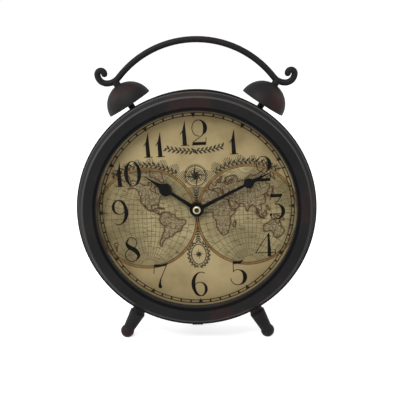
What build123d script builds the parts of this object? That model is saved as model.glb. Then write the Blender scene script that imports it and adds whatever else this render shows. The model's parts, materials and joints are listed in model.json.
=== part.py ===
from build123d import *
from math import acos, atan2, cos, pi, radians, sin, sqrt, tan
import os

# World time clock: a table clock with two bells, a carrying handle and a quartz movement
# Pieces are drawn in the case frame: x to the right, y back from the front of the bezel,
# z up from the hand axis. At the end the case is leaned back and stood on its feet.
# Lengths are millimetres and angles are degrees.

QUARTER_TURN = 90

# Stance: how far the case leans back on its rear foot
CASE_LEAN = 3.0

# Fits, all on the radius or on one face
RUN = 0.07
SLIP = 0.2
BOLT_GAP = 0.1
SIDE_PLAY = 0.3

# Bezel, a hollow spun ring: bevel at the lip, flat band, rounded ridge, flank and rolled edge
BEZEL_LIP_R = 85.4
BEVEL_WIDTH = 3.6
BEVEL_DROP = 0.65
BAND_WIDTH = 8.8
BAND_DROP = 0.25
RIDGE_ROUND = 1.6
FLANK_SPREAD = 5.4
FLANK_DEPTH = 8.0
EDGE_ROLL = 1.9
BEZEL_WALL = 1.4
LIP_THICK = 1.1

# Dial stack behind the lip
GLASS_THICK = 2.0
GLASS_SEAT = 3.9
GASKET_THICK = 0.5
SPACER_WALL = 2.6
SPACER_DEPTH = 7.0
PAPER_THICK = 0.2
BOARD_THICK = 2.5

# Case drum and rear cover
DRUM_OVERHANG = 3.2
DRUM_WALL = 1.0
DRUM_LENGTH = 36.5
FLANGE_THICK = 1.2
FLANGE_GRIP = 5.3
LIP_WIDTH = 7.5
COVER_THICK = 1.2
COVER_INSET = 1.5
WINDOW_R = 40.0

# Small machine screws for the bezel, cover and rear foot
SCREW_R = 1.25
SCREW_HEAD_R = 2.5
SCREW_HEAD = 1.5
SCREW_BITE = 5.0
SCREW_COUNT = 4
SCREW_FIRST_ANGLE = 45.0
BOSS_R = 2.9

# Bells and the posts that carry them
BELL_ANGLE = 32.65
BELL_STANDOFF = 5.9
BELL_R = 20.2
BELL_HEIGHT = 19.2
BELL_WALL = 1.2
POST_DEPTH = 29.0
POST_R = 2.9
STUD_R = 1.5
COLLAR_R = 3.2
COLLAR_HEIGHT = 1.3
WASHER_R = 3.4
WASHER_THICK = 0.5
NUT_FLATS = 5.5
NUT_THICK = 2.4
STUD_END = 1.2

# Handle, a round rod: an arch, two reverse bends and scrolled tapering ends
HANDLE_ROD_R = 2.73
HANDLE_BEND_R = 12.8
HANDLE_RISE = 24.4
SCROLL_RADII = (7.9, 3.0, 2.9)

# Front feet, turned legs with a ball tip
FOOT_ANGLE = 29.0
FOOT_DEPTH = 19.5
FOOT_NECK_R = 5.8
FOOT_NECK = 6.2
FOOT_FLARE = 3.4
FOOT_SHOULDER_R = 6.9
FOOT_ANKLE_R = 5.1
FOOT_REACH = 29.2
BALL_R = 6.0
BALL_FLAT = 0.3
FOOT_BOLT_R = 1.5
FOOT_BOLT_BITE = 12.0
FOOT_BOLT_HEAD_R = 2.8
FOOT_BOLT_HEAD = 2.0

# Rear foot, a bent strip with a rubber boot
STRIP_WIDTH = 8.0
STRIP_THICK = 1.8
STRIP_TEE = 26.0
STRIP_TEE_HEIGHT = 7.0
STRIP_SCREW_X = 9.0
BOOT_WALL = 0.9
BOOT_HEIGHT = 6.0
BOOT_SOLE = 1.6

# Hands, spade pattern, drawn pointing to twelve
HAND_THICK = 0.5
HAND_HUB_R = 5.9
MINUTE_ANGLE = 62.7
MINUTE_LENGTH = 71.2
MINUTE_BULB_AT = 50.3
MINUTE_BULB_R = 4.3
HOUR_ANGLE = 303.3
HOUR_LENGTH = 52.5
HOUR_BULB_AT = 31.8
HOUR_BULB_R = 5.5
STEM_ROOT = 1.8
STEM_TIP = 1.15
SPEAR_SHOULDER = 50.0
SPEAR_NECK = 1.7
SPEAR_RUN = 8.0
SPEAR_TIP = 0.3
SPEAR_HOLLOW = 0.7
HAND_NUT_R = 3.4
HAND_NUT_HEIGHT = 1.9
HAND_GAP = 1.0

# AA cell
CELL_R = 7.1
CELL_LENGTH = 48.5
CELL_NUB = 1.4
CELL_NUB_R = 2.6
CELL_EDGE = 0.4
CELL_ROOM = 0.7
CELL_FLOOR = 0.3
CONTACT_ROOM = 1.8
CONTACT_SHEET = 0.4
CONTACT_WIDTH = 9.0
CONTACT_GAP = 0.1

# Movement housing
SHELL_WALL = 1.2
CHAMBER_BELOW = 10.2
CHAMBER_ABOVE = 26.8
PARTITION = 1.0
FRONT_SHELL_DEPTH = 7.0
PILLAR_R = 1.8
PILLAR_INSET = 2.3
PLATE_THICK = 0.8
PLATE_GAP = 0.1
SEAL_SIZE = 36.0
SEAL_THICK = 0.5

# Bushing and the nested hand shafts
BUSH_R = 3.9
BUSH_FLANGE_R = 5.5
BUSH_FLANGE = 0.7
PIPE_R = 2.3
ARBOR_R = 1.4
ARBOR_TIP_R = 1.1
ARBOR_TAIL_R = 0.9
PIPE_STAND = 0.2
DIAL_NUT_FLATS = 11.0
DIAL_NUT_THICK = 1.6
DIAL_WASHER_R = 6.5
DIAL_WASHER_THICK = 0.4
BUSH_STAND = 0.3

# Motion works, which turn the hour hand once for twelve turns of the minute hand
MOTION_MODULE = 0.4
CANNON_TEETH = 10
MINUTE_WHEEL_TEETH = 30
MINUTE_PINION_TEETH = 8
HOUR_WHEEL_TEETH = 32
SET_TEETH = 12
MINUTE_WHEEL_BEARING = 135.0
SET_BEARING = 180.0
MOTION_PIN_R = 0.6
HOUR_WHEEL_THICK = 1.0
MINUTE_WHEEL_THICK = 0.8
WHEEL_GAP = 0.3
PINION_OVERHANG = 0.1

# Setting knob
SET_ARBOR_R = 1.3
SET_PIVOT_R = 0.6
SET_KNOB_R = 6.0
SET_KNOB_THICK = 4.0
SET_KNOB_GAP = 0.5
SET_KNOB_CAP = 1.2
SET_FLUTES = 16
SET_FLUTE_R = 0.6

# Drive train: module and teeth of each pair, with the bearing to the next axis
CENTRE_MODULE = 0.25
CENTRE_TEETH = 60
THIRD_PINION_TEETH = 8
THIRD_MODULE = 0.2
THIRD_TEETH = 64
SECONDS_PINION_TEETH = 8
SECONDS_MODULE = 0.3
SECONDS_TEETH = 30
FIFTH_PINION_TEETH = 6
FIFTH_MODULE = 0.2
FIFTH_TEETH = 36
ROTOR_TEETH = 6
THIRD_BEARING = 60.0
SECONDS_BEARING = 0.0
FIFTH_BEARING = 60.0
ROTOR_BEARING = 30.0
TRAIN_FIRST = 0.6
TRAIN_PITCH = 1.4
TRAIN_THICK = 0.6
TRAIN_ARBOR_R = 0.45
TRAIN_PIVOT_R = 0.3
TRAIN_PIVOT = 0.6
TRAIN_HUB_R = 1.7
TRAIN_HUB = 0.5

# Gear teeth
PRESSURE = radians(27.0)
ADDENDUM = 0.75
DEDENDUM = 1.05
TOOTH_SHARE = 0.42

# Motor and circuit
MAGNET_R = 2.2
MAGNET_LENGTH = 2.6
MAGNET_AIR = 0.4
STATOR_RIM = 0.8
STATOR_THICK = 0.8
STATOR_ARM = 2.2
STATOR_REACH = 12.0
STATOR_RISE = 9.0
COIL_R = 2.2
CIRCUIT_INSET = 4.0
CIRCUIT_WIDTH = 19.0
CIRCUIT_HEIGHT = 12.0
CIRCUIT_THICK = 0.8
CHIP_R = 2.2
CHIP_HEIGHT = 0.8
CRYSTAL_R = 1.0
CRYSTAL_LENGTH = 6.0

# Radii from the lip outwards
glass_r = BEZEL_LIP_R + GLASS_SEAT
bore_r = glass_r + SIDE_PLAY
bevel_r = BEZEL_LIP_R + BEVEL_WIDTH
ridge_r = bevel_r + BAND_WIDTH
edge_r = ridge_r + FLANK_SPREAD
drum_r = edge_r - DRUM_OVERHANG
drum_in_r = drum_r - DRUM_WALL
neck_r = drum_in_r - SLIP
boss_at = (bore_r + neck_r) / 2
lip_hole_at = drum_in_r - LIP_WIDTH / 2

# Depths from the front backwards
lip_front = BEVEL_DROP + BAND_DROP
edge_back = FLANK_DEPTH + EDGE_ROLL
glass_front = lip_front + LIP_THICK
glass_back = glass_front + GLASS_THICK
spacer_front = glass_back + GASKET_THICK
paper_front = spacer_front + SPACER_DEPTH
board_front = paper_front + PAPER_THICK
board_back = board_front + BOARD_THICK
drum_back = edge_back + DRUM_LENGTH
cover_back = drum_back + COVER_THICK
strip_back = cover_back + STRIP_THICK
move_front = board_back + SEAL_THICK
chamber_front = move_front + SHELL_WALL
shell_split = move_front + FRONT_SHELL_DEPTH
cell_axis_y = chamber_front + CELL_FLOOR + CELL_R
move_back = cell_axis_y + CELL_R + CELL_FLOOR
chamber_back = move_back - SHELL_WALL

# Depths of the dial nut, hands and hand nut, from the dial forwards
dial_nut_back = paper_front - DIAL_WASHER_THICK
dial_nut_front = dial_nut_back - DIAL_NUT_THICK
bush_front = dial_nut_front - BUSH_STAND
hour_hand_back = bush_front - 2 * SIDE_PLAY
hour_hand_front = hour_hand_back - HAND_THICK
pipe_front = hour_hand_front - PIPE_STAND
minute_hand_back = pipe_front - HAND_GAP
minute_hand_front = minute_hand_back - HAND_THICK

# Layers of wheels inside the movement, each as front and back depth
bush_back = chamber_front + BUSH_FLANGE
hour_layer = (bush_back + WHEEL_GAP, bush_back + WHEEL_GAP + HOUR_WHEEL_THICK)
minute_layer = (hour_layer[1] + WHEEL_GAP, hour_layer[1] + WHEEL_GAP + MINUTE_WHEEL_THICK)
plate_front = minute_layer[1] + WHEEL_GAP + PINION_OVERHANG
plate_back = plate_front + PLATE_THICK

# Movement housing: half width, bottom and top
move_half = (CELL_LENGTH + CELL_NUB) / 2 + CONTACT_ROOM + SHELL_WALL
bay_top = -CHAMBER_BELOW - PARTITION
bay_bottom = bay_top - 2 * CELL_R - 2 * CELL_ROOM
move_bottom = bay_bottom - SHELL_WALL
move_top = CHAMBER_ABOVE + SHELL_WALL
cell_axis_z = (bay_top + bay_bottom) / 2
room_half = move_half - SHELL_WALL

# Stance: the ball tips touch the table, which is this far under the hand axis
ball_at = drum_r + FOOT_REACH
ball_z = -ball_at * cos(radians(FOOT_ANGLE))
axis_height = (
    BALL_R - BALL_FLAT
    - ball_z * cos(radians(CASE_LEAN))
    + FOOT_DEPTH * sin(radians(CASE_LEAN))
)
LEANED = Pos(0, 0, axis_height) * Rot(X=-CASE_LEAN)

# Radial places of the bell and the handle above it
rim_at = drum_r + BELL_STANDOFF
apex_at = rim_at + BELL_HEIGHT
bell_ball_r = (BELL_R ** 2 + BELL_HEIGHT ** 2) / (2 * BELL_HEIGHT)
rod_at = apex_at + COLLAR_HEIGHT + HANDLE_ROD_R
FOOT_BEARING = 180 - FOOT_ANGLE


def disc(radius, front, back, x=0, z=0):
    """Round bar along y."""
    bar = Cylinder(radius, back - front, align=(Align.CENTER, Align.CENTER, Align.MIN))
    return Pos(x, front, z) * Rot(X=-90) * bar


def ring(outer, inner, front, back, x=0, z=0):
    """Flat ring or tube along y."""
    return disc(outer, front, back, x, z) - disc(inner, front, back, x, z)


def slab(face, front, back):
    """Plate along y from a face drawn in x and z."""
    return extrude(Plane.XZ.offset(-back) * face, back - front)


def block(x_low, x_high, front, back, z_low, z_high):
    """Rectangular block from its limits."""
    box = Box(x_high - x_low, back - front, z_high - z_low)
    return Pos((x_low + x_high) / 2, (front + back) / 2, (z_low + z_high) / 2) * box


def bar(radius, low, high):
    """Round bar along z."""
    return Pos(0, 0, low) * Cylinder(
        radius, high - low, align=(Align.CENTER, Align.CENTER, Align.MIN)
    )


def spun(outline):
    """Solid turned about y from an outline drawn as radius and depth."""
    return revolve(make_face(outline), axis=Axis.Y)


def turned(outline):
    """Solid turned about z from an outline drawn as radius and height."""
    return Rot(X=90) * spun(outline)


def radial(solid, bearing, depth):
    """Place a solid drawn along z so that it points away from the hand axis."""
    return Pos(0, depth, 0) * Rot(Y=bearing) * solid


def twin(solid):
    """The same solid on the other side of the clock."""
    return mirror(solid, about=Plane.YZ)


def both(solid):
    """A solid and its twin as one group."""
    return [solid, twin(solid)]


def hexagon(flats):
    """Hexagon from its width across flats."""
    return RegularPolygon(flats / sqrt(3), 6)


def screw(head_r, head, shank_r, bite):
    """Pan screw along y: the seat of its head is at y = 0 and its shank runs forwards."""
    dome = fillet(disc(head_r, 0, head).edges().group_by(Axis.Y)[-1], head / 2)
    return dome + disc(shank_r, -bite, 0)


def around(radius, count, first):
    """Places on a circle about the hand axis."""
    bearings = [radians(first + 360 * index / count) for index in range(count)]
    return [(radius * sin(bearing), radius * cos(bearing)) for bearing in bearings]


def bezel_screw_places():
    return around(boss_at, SCREW_COUNT, SCREW_FIRST_ANGLE)


def cover_screw_places():
    return around(lip_hole_at, SCREW_COUNT, SCREW_FIRST_ANGLE)


def strip_screw_places():
    drop = -sqrt(lip_hole_at ** 2 - STRIP_SCREW_X ** 2)
    return [(-STRIP_SCREW_X, drop), (STRIP_SCREW_X, drop)]


def bezel():
    lip = (BEZEL_LIP_R, lip_front)
    bevel_end = (bevel_r, BAND_DROP)
    ridge = (ridge_r, 0)
    flank_end = (edge_r - EDGE_ROLL, FLANK_DEPTH - EDGE_ROLL)
    edge = (edge_r, FLANK_DEPTH)
    edge_foot = (edge_r - EDGE_ROLL, edge_back)
    neck_front = (neck_r, edge_back)
    neck_back = (neck_r, board_back)
    bore_back = (bore_r, board_back)
    seat_out = (bore_r, glass_front)
    seat_in = (BEZEL_LIP_R, glass_front)
    solid = spun([
        Polyline(lip, bevel_end, ridge, flank_end),
        ThreePointArc(flank_end, edge, edge_foot),
        Polyline(edge_foot, neck_front, neck_back, bore_back, seat_out, seat_in, lip),
    ])
    ridge_edge = solid.edges().filter_by(GeomType.CIRCLE).group_by(Axis.Y)[0]
    solid = fillet(ridge_edge, RIDGE_ROUND)
    channel_floor = glass_front + BEZEL_WALL
    channel = ring(neck_r - BEZEL_WALL, bore_r + BEZEL_WALL, channel_floor, board_back)
    for x, z in bezel_screw_places():
        channel -= disc(BOSS_R, channel_floor, board_back, x, z)
    solid -= channel
    for x, z in bezel_screw_places():
        solid -= disc(SCREW_R + BOLT_GAP, board_back - SCREW_BITE, board_back, x, z)
    return solid


def case_drum():
    wall = ring(drum_r, drum_in_r, edge_back, drum_back)
    flange_in = glass_r - FLANGE_GRIP
    flange = ring(drum_in_r, flange_in, board_back, board_back + FLANGE_THICK)
    lip = ring(drum_in_r, drum_in_r - LIP_WIDTH, drum_back - DRUM_WALL, drum_back)
    solid = wall + flange + lip
    stud_hole = bar(STUD_R + BOLT_GAP, drum_in_r - WASHER_R, drum_r + WASHER_R)
    foot_hole = bar(FOOT_BOLT_R + BOLT_GAP, drum_in_r - WASHER_R, drum_r + WASHER_R)
    for hole in both(radial(stud_hole, BELL_ANGLE, POST_DEPTH)):
        solid -= hole
    for hole in both(radial(foot_hole, FOOT_BEARING, FOOT_DEPTH)):
        solid -= hole
    for x, z in bezel_screw_places():
        solid -= disc(SCREW_R + BOLT_GAP, board_back, board_back + FLANGE_THICK, x, z)
    for x, z in cover_screw_places() + strip_screw_places():
        solid -= disc(SCREW_R + BOLT_GAP, drum_back - DRUM_WALL, drum_back, x, z)
    return solid


def bezel_screws():
    pan = screw(SCREW_HEAD_R, SCREW_HEAD, SCREW_R, SCREW_BITE)
    seat = board_back + FLANGE_THICK
    return [Pos(x, seat, z) * pan for x, z in bezel_screw_places()]


def rear_cover():
    solid = ring(drum_r - COVER_INSET, WINDOW_R, drum_back, cover_back)
    for x, z in cover_screw_places() + strip_screw_places():
        solid -= disc(SCREW_R + BOLT_GAP, drum_back, cover_back, x, z)
    rims = solid.edges().filter_by(GeomType.CIRCLE).group_by(Axis.Y)[-1]
    return fillet([rims.sort_by(SortBy.RADIUS)[-1]], COVER_THICK / 2)


def rear_cover_screws():
    pan = screw(SCREW_HEAD_R, SCREW_HEAD, SCREW_R, SCREW_BITE)
    return [Pos(x, cover_back, z) * pan for x, z in cover_screw_places()]


def table_block(lift):
    """Everything lower than the table, or than a plane lifted above it."""
    size = 6 * drum_r
    below = Pos(0, 0, lift) * Box(size, size, size, align=(Align.CENTER, Align.CENTER, Align.MAX))
    return LEANED.inverse() * below


def rear_strip_blank():
    """The rear foot before it is cut to length."""
    centre = strip_screw_places()[0][1]
    low = centre - STRIP_TEE_HEIGHT / 2
    high = centre + STRIP_TEE_HEIGHT / 2
    tee = block(-STRIP_TEE / 2, STRIP_TEE / 2, cover_back, strip_back, low, high)
    tongue = block(-STRIP_WIDTH / 2, STRIP_WIDTH / 2, cover_back, strip_back, -axis_height, low)
    return tee + tongue


def rear_foot():
    solid = rear_strip_blank() - table_block(BOOT_SOLE)
    for x, z in strip_screw_places():
        solid -= disc(SCREW_R + BOLT_GAP, cover_back, strip_back, x, z)
    return solid


def rear_foot_boot():
    half = STRIP_WIDTH / 2 + BOOT_WALL
    top = -axis_height + BOOT_HEIGHT + strip_back * sin(radians(CASE_LEAN))
    bottom = top - 2 * BOOT_HEIGHT
    cup = block(-half, half, cover_back - BOOT_WALL, strip_back + BOOT_WALL, bottom, top)
    return cup - table_block(0) - rear_foot()


def rear_foot_screws():
    pan = screw(SCREW_HEAD_R, SCREW_HEAD, SCREW_R, SCREW_BITE)
    return [Pos(x, strip_back, z) * pan for x, z in strip_screw_places()]


def glass():
    return disc(glass_r, glass_front, glass_back)


def glass_gasket():
    return ring(glass_r, glass_r - SPACER_WALL, glass_back, spacer_front)


def dial_spacer():
    return ring(glass_r, glass_r - SPACER_WALL, spacer_front, paper_front)


def dial_face():
    return ring(glass_r, BUSH_R + BOLT_GAP, paper_front, board_front)


def dial_board():
    return ring(glass_r, BUSH_R + BOLT_GAP, board_front, board_back)


def bell_blank(radius):
    """Solid cap of a ball, cut off at the rim of the bell."""
    ball = Pos(0, 0, apex_at - bell_ball_r) * Sphere(radius)
    return ball - bar(2 * radius, rim_at - 2 * radius, rim_at)


def bell():
    dome = bell_blank(bell_ball_r)
    hollow = bell_blank(bell_ball_r - BELL_WALL)
    shell = dome - hollow - bar(STUD_R + BOLT_GAP, rim_at, apex_at + BELL_WALL)
    return radial(shell, BELL_ANGLE, POST_DEPTH)


def bell_sleeve():
    top = apex_at - BELL_WALL
    tube = bar(POST_R, drum_in_r, top) - bar(STUD_R + BOLT_GAP, drum_in_r, top)
    return radial(tube, BELL_ANGLE, POST_DEPTH) - disc(drum_r, edge_back, drum_back) - bell()


def bell_stud():
    low = drum_in_r - WASHER_THICK - NUT_THICK - STUD_END
    return radial(bar(STUD_R, low, rod_at + STUD_END), BELL_ANGLE, POST_DEPTH)


def bell_collar(handle_solid):
    tube = bar(COLLAR_R, apex_at - COLLAR_R, rod_at)
    tube -= bar(STUD_R + BOLT_GAP, apex_at - COLLAR_R, rod_at)
    tube -= bell_blank(bell_ball_r)
    return (radial(tube, BELL_ANGLE, POST_DEPTH) - handle_solid).solids().sort_by(Axis.X)[0]


def washer_seat(bolt_washer_r):
    """Radius at which a flat washer clears the round inside of the drum."""
    return sqrt(drum_in_r ** 2 - bolt_washer_r ** 2)


def stud_washer():
    top = washer_seat(WASHER_R)
    tube = bar(WASHER_R, top - WASHER_THICK, top)
    tube -= bar(STUD_R + BOLT_GAP, top - WASHER_THICK, top)
    return radial(tube, BELL_ANGLE, POST_DEPTH)


def stud_nut():
    top = washer_seat(WASHER_R) - WASHER_THICK
    prism = Pos(0, 0, top - NUT_THICK) * extrude(hexagon(NUT_FLATS), NUT_THICK)
    return radial(prism - bar(STUD_R, top - NUT_THICK, top), BELL_ANGLE, POST_DEPTH)


def handle_path():
    """Arch and reverse bends in x and z, each as three points of an arc."""
    bend = radians(BELL_ANGLE)
    bend_x = (rod_at + HANDLE_BEND_R) * sin(bend)
    bend_z = (rod_at + HANDLE_BEND_R) * cos(bend)
    top = bend_z + HANDLE_RISE
    arch_r = (bend_x ** 2 + HANDLE_RISE ** 2 - HANDLE_BEND_R ** 2) / (
        2 * (HANDLE_BEND_R + HANDLE_RISE)
    )
    sweep_angle = atan2(bend_x, bend_z - top + arch_r)
    joint = (arch_r * sin(sweep_angle), top - arch_r + arch_r * cos(sweep_angle))
    middle = (
        bend_x - HANDLE_BEND_R * sin(sweep_angle / 2),
        bend_z - HANDLE_BEND_R * cos(sweep_angle / 2),
    )
    low = (bend_x, bend_z - HANDLE_BEND_R)
    left = [(-x, z) for x, z in (low, middle, joint)]
    return [left, [left[-1], (0, top), joint], [joint, middle, low]]


def scroll_path(low):
    """Centre line of the scroll that curls up and in from the low point of the right bend."""
    centre_x = low[0]
    centre_z = low[1] + SCROLL_RADII[0]
    arcs = []
    for quarter, radius in enumerate(SCROLL_RADII):
        heading = 90 * quarter
        if quarter:
            shrink = SCROLL_RADII[quarter - 1] - radius
            centre_x += shrink * sin(radians(heading))
            centre_z -= shrink * cos(radians(heading))
        turns = [radians(heading + turn) for turn in (0, 45, 90)]
        arcs.append([(centre_x + radius * sin(turn), centre_z - radius * cos(turn)) for turn in turns])
    return arcs


def handle():
    arcs = handle_path()
    curl = scroll_path(arcs[-1][-1])
    far_curl = [[(-x, z) for x, z in reversed(arc)] for arc in reversed(curl)]
    wire = Plane.XZ * Wire([ThreePointArc(*arc) for arc in far_curl + arcs + curl])
    tip_x, tip_z = curl[-1][-1]
    start = Plane((-tip_x, 0, tip_z), x_dir=(0, 1, 0), z_dir=(0, 0, 1))
    rod = sweep(start * Circle(HANDLE_ROD_R), path=wire)
    for tip in both(Pos(tip_x, 0, tip_z) * Sphere(HANDLE_ROD_R)):
        rod += tip
    solid = Pos(0, POST_DEPTH, 0) * rod
    stud_hole = bar(STUD_R, apex_at, rod_at + STUD_END)
    for hole in both(radial(stud_hole, BELL_ANGLE, POST_DEPTH)):
        solid -= hole
    return solid


def foot():
    neck_end = drum_r + FOOT_NECK
    shoulder = (FOOT_SHOULDER_R, neck_end + FOOT_FLARE)
    flare = (
        FOOT_NECK_R + (FOOT_SHOULDER_R - FOOT_NECK_R) / 3,
        neck_end + FOOT_FLARE * 2 / 3,
    )
    ankle = (FOOT_ANKLE_R, ball_at - sqrt(BALL_R ** 2 - FOOT_ANKLE_R ** 2))
    tip = (0, ball_at + BALL_R)
    leg = turned([
        Polyline(tip, (0, drum_in_r), (FOOT_NECK_R, drum_in_r), (FOOT_NECK_R, neck_end)),
        ThreePointArc((FOOT_NECK_R, neck_end), flare, shoulder),
        Line(shoulder, ankle),
        ThreePointArc(ankle, (BALL_R, ball_at), tip),
    ])
    leg -= bar(FOOT_BOLT_R, drum_in_r, drum_r + FOOT_BOLT_BITE)
    placed = radial(leg, FOOT_BEARING, FOOT_DEPTH)
    return placed - disc(drum_r, edge_back, drum_back) - table_block(0)


def foot_washer():
    top = washer_seat(WASHER_R)
    tube = bar(WASHER_R, top - WASHER_THICK, top)
    tube -= bar(FOOT_BOLT_R + BOLT_GAP, top - WASHER_THICK, top)
    return radial(tube, FOOT_BEARING, FOOT_DEPTH)


def foot_screw():
    seat = washer_seat(WASHER_R) - WASHER_THICK
    pan = screw(FOOT_BOLT_HEAD_R, FOOT_BOLT_HEAD, FOOT_BOLT_R, drum_r + FOOT_BOLT_BITE - seat)
    return radial(Pos(0, 0, seat) * Rot(X=-90) * pan, FOOT_BEARING, FOOT_DEPTH)


def spade(length, bulb_at, bulb_r, hole_r):
    """Outline of a spade hand that points up from its hole."""
    neck_z = bulb_at + bulb_r + SPEAR_RUN / 4
    spread = radians(SPEAR_SHOULDER)
    shoulder = (bulb_r * cos(spread), bulb_at + bulb_r * sin(spread))
    hollow = ((shoulder[0] + SPEAR_NECK) / 2 - SPEAR_HOLLOW / 2, (shoulder[1] + neck_z) / 2)
    neck = (SPEAR_NECK, neck_z)
    belly = ((SPEAR_NECK + SPEAR_TIP) / 2 - SPEAR_HOLLOW / 3, (neck_z + length) / 2)
    tip = (SPEAR_TIP, length)
    right = [ThreePointArc(shoulder, hollow, neck), ThreePointArc(neck, belly, tip)]
    left = [mirror(edge, about=Plane.YZ) for edge in right]
    caps = [
        Line(tip, (-SPEAR_TIP, length)),
        Line(shoulder, (-shoulder[0], shoulder[1])),
    ]
    spear = make_face(right + left + caps)
    stem = make_face(Polyline(
        (-STEM_ROOT, 0), (STEM_ROOT, 0), (STEM_TIP, bulb_at), (-STEM_TIP, bulb_at), close=True
    ))
    face = spear + stem + Pos(0, bulb_at) * Circle(bulb_r) + Circle(HAND_HUB_R)
    return face - Circle(hole_r)


def minute_hand():
    outline = spade(MINUTE_LENGTH, MINUTE_BULB_AT, MINUTE_BULB_R, ARBOR_TIP_R)
    return slab(Rot(Z=-MINUTE_ANGLE) * outline, minute_hand_front, minute_hand_back)


def hour_hand():
    outline = spade(HOUR_LENGTH, HOUR_BULB_AT, HOUR_BULB_R, PIPE_R)
    return slab(Rot(Z=-HOUR_ANGLE) * outline, hour_hand_front, hour_hand_back)


def hand_nut():
    back = minute_hand_front
    front = back - HAND_NUT_HEIGHT
    dome_back = back - HAND_NUT_HEIGHT / 3
    solid = spun([
        EllipticalCenterArc(
            (0, dome_back), HAND_NUT_R, dome_back - front,
            start_angle=-QUARTER_TURN, arc_size=QUARTER_TURN,
        ),
        Polyline((HAND_NUT_R, dome_back), (HAND_NUT_R, back), (0, back), (0, front)),
    ])
    return solid - disc(ARBOR_TIP_R, back - HAND_NUT_HEIGHT / 2, back)


def gear(teeth, module, phase):
    """Involute gear outline with a tooth centred on the bearing phase, in radians."""
    pitch_r = teeth * module / 2
    base_r = pitch_r * cos(PRESSURE)
    tip_r = pitch_r + ADDENDUM * module
    root_r = pitch_r - DEDENDUM * module
    start_r = max(base_r, root_r)

    def half_width(radius):
        slope = acos(min(1.0, base_r / radius))
        spread = tan(PRESSURE) - PRESSURE - tan(slope) + slope
        return TOOTH_SHARE * pi / teeth + spread

    flank = [(root_r, half_width(start_r))]
    flank += [(radius, half_width(radius)) for radius in (start_r, pitch_r, tip_r)]
    points = []
    for tooth in range(teeth):
        centre = phase + 2 * pi * tooth / teeth
        rising = [(radius, centre - half) for radius, half in flank]
        falling = [(radius, centre + half) for radius, half in reversed(flank)]
        points += [(r * cos(angle), r * sin(angle)) for r, angle in rising + falling]
    distinct = [p for i, p in enumerate(points) if abs(complex(*p) - complex(*points[i - 1])) > 1e-6]
    return make_face(Polyline(*distinct, close=True))


def wheel(teeth, module, phase, place, front, back):
    return slab(Pos(place[0], place[1]) * gear(teeth, module, phase), front, back)


def next_axis(place, teeth_a, teeth_b, module, bearing):
    """Axis of a gear that meshes with another at a bearing."""
    distance = (teeth_a + teeth_b) * module / 2
    return (
        place[0] + distance * cos(radians(bearing)),
        place[1] + distance * sin(radians(bearing)),
    )


def meshed(teeth_a, phase_a, teeth_b, bearing):
    """Phase that puts a gap of the second gear where the first has a tooth."""
    line = radians(bearing)
    return line + pi - pi / teeth_b + (line - phase_a) * teeth_a / teeth_b


# Axes and phases of the motion works
HAND_AXIS = (0.0, 0.0)
minute_wheel_axis = next_axis(
    HAND_AXIS, CANNON_TEETH, MINUTE_WHEEL_TEETH, MOTION_MODULE, MINUTE_WHEEL_BEARING
)
set_axis = next_axis(
    minute_wheel_axis, MINUTE_WHEEL_TEETH, SET_TEETH, MOTION_MODULE, SET_BEARING
)
minute_wheel_phase = meshed(CANNON_TEETH, 0.0, MINUTE_WHEEL_TEETH, MINUTE_WHEEL_BEARING)
hour_wheel_phase = meshed(
    MINUTE_PINION_TEETH, minute_wheel_phase, HOUR_WHEEL_TEETH, MINUTE_WHEEL_BEARING + 180
)
set_phase = meshed(MINUTE_WHEEL_TEETH, minute_wheel_phase, SET_TEETH, SET_BEARING)
motion_spread = (CANNON_TEETH + MINUTE_WHEEL_TEETH) * MOTION_MODULE / 2
hour_module = 2 * motion_spread / (MINUTE_PINION_TEETH + HOUR_WHEEL_TEETH)

# Axes and phases of the drive train
third_axis = next_axis(
    HAND_AXIS, CENTRE_TEETH, THIRD_PINION_TEETH, CENTRE_MODULE, THIRD_BEARING
)
seconds_axis = next_axis(
    third_axis, THIRD_TEETH, SECONDS_PINION_TEETH, THIRD_MODULE, SECONDS_BEARING
)
fifth_axis = next_axis(
    seconds_axis, SECONDS_TEETH, FIFTH_PINION_TEETH, SECONDS_MODULE, FIFTH_BEARING
)
rotor_axis = next_axis(fifth_axis, FIFTH_TEETH, ROTOR_TEETH, FIFTH_MODULE, ROTOR_BEARING)
third_phase = meshed(CENTRE_TEETH, 0.0, THIRD_PINION_TEETH, THIRD_BEARING)
seconds_phase = meshed(THIRD_TEETH, third_phase, SECONDS_PINION_TEETH, SECONDS_BEARING)
fifth_phase = meshed(SECONDS_TEETH, seconds_phase, FIFTH_PINION_TEETH, FIFTH_BEARING)
rotor_phase = meshed(FIFTH_TEETH, fifth_phase, ROTOR_TEETH, ROTOR_BEARING)
train_axes = [third_axis, seconds_axis, fifth_axis, rotor_axis]


def train_layer(index):
    """Front and back of one layer of the drive train, counted from the middle plate."""
    front = plate_back + TRAIN_FIRST + index * TRAIN_PITCH
    return front, front + TRAIN_THICK


magnet_front = train_layer(1)[0] - (MAGNET_LENGTH - STATOR_THICK) / 2
stator_front = train_layer(1)[0]
stator_back = stator_front + STATOR_THICK


def minute_arbor():
    tip = disc(ARBOR_TIP_R, minute_hand_front - HAND_NUT_HEIGHT / 2, minute_hand_back)
    body = disc(ARBOR_R, minute_hand_back, minute_layer[0])
    pinion = wheel(
        CANNON_TEETH, MOTION_MODULE, 0.0, HAND_AXIS,
        minute_layer[0] - PINION_OVERHANG, minute_layer[1] + PINION_OVERHANG,
    )
    tail = disc(ARBOR_TAIL_R, minute_layer[1], chamber_back + SHELL_WALL / 2)
    return tip + body + pinion + tail


def hour_wheel():
    gear_disc = wheel(HOUR_WHEEL_TEETH, hour_module, hour_wheel_phase, HAND_AXIS, *hour_layer)
    pipe = disc(PIPE_R, pipe_front, hour_layer[1])
    return gear_disc + pipe - disc(ARBOR_R + RUN, pipe_front, hour_layer[1])


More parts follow.
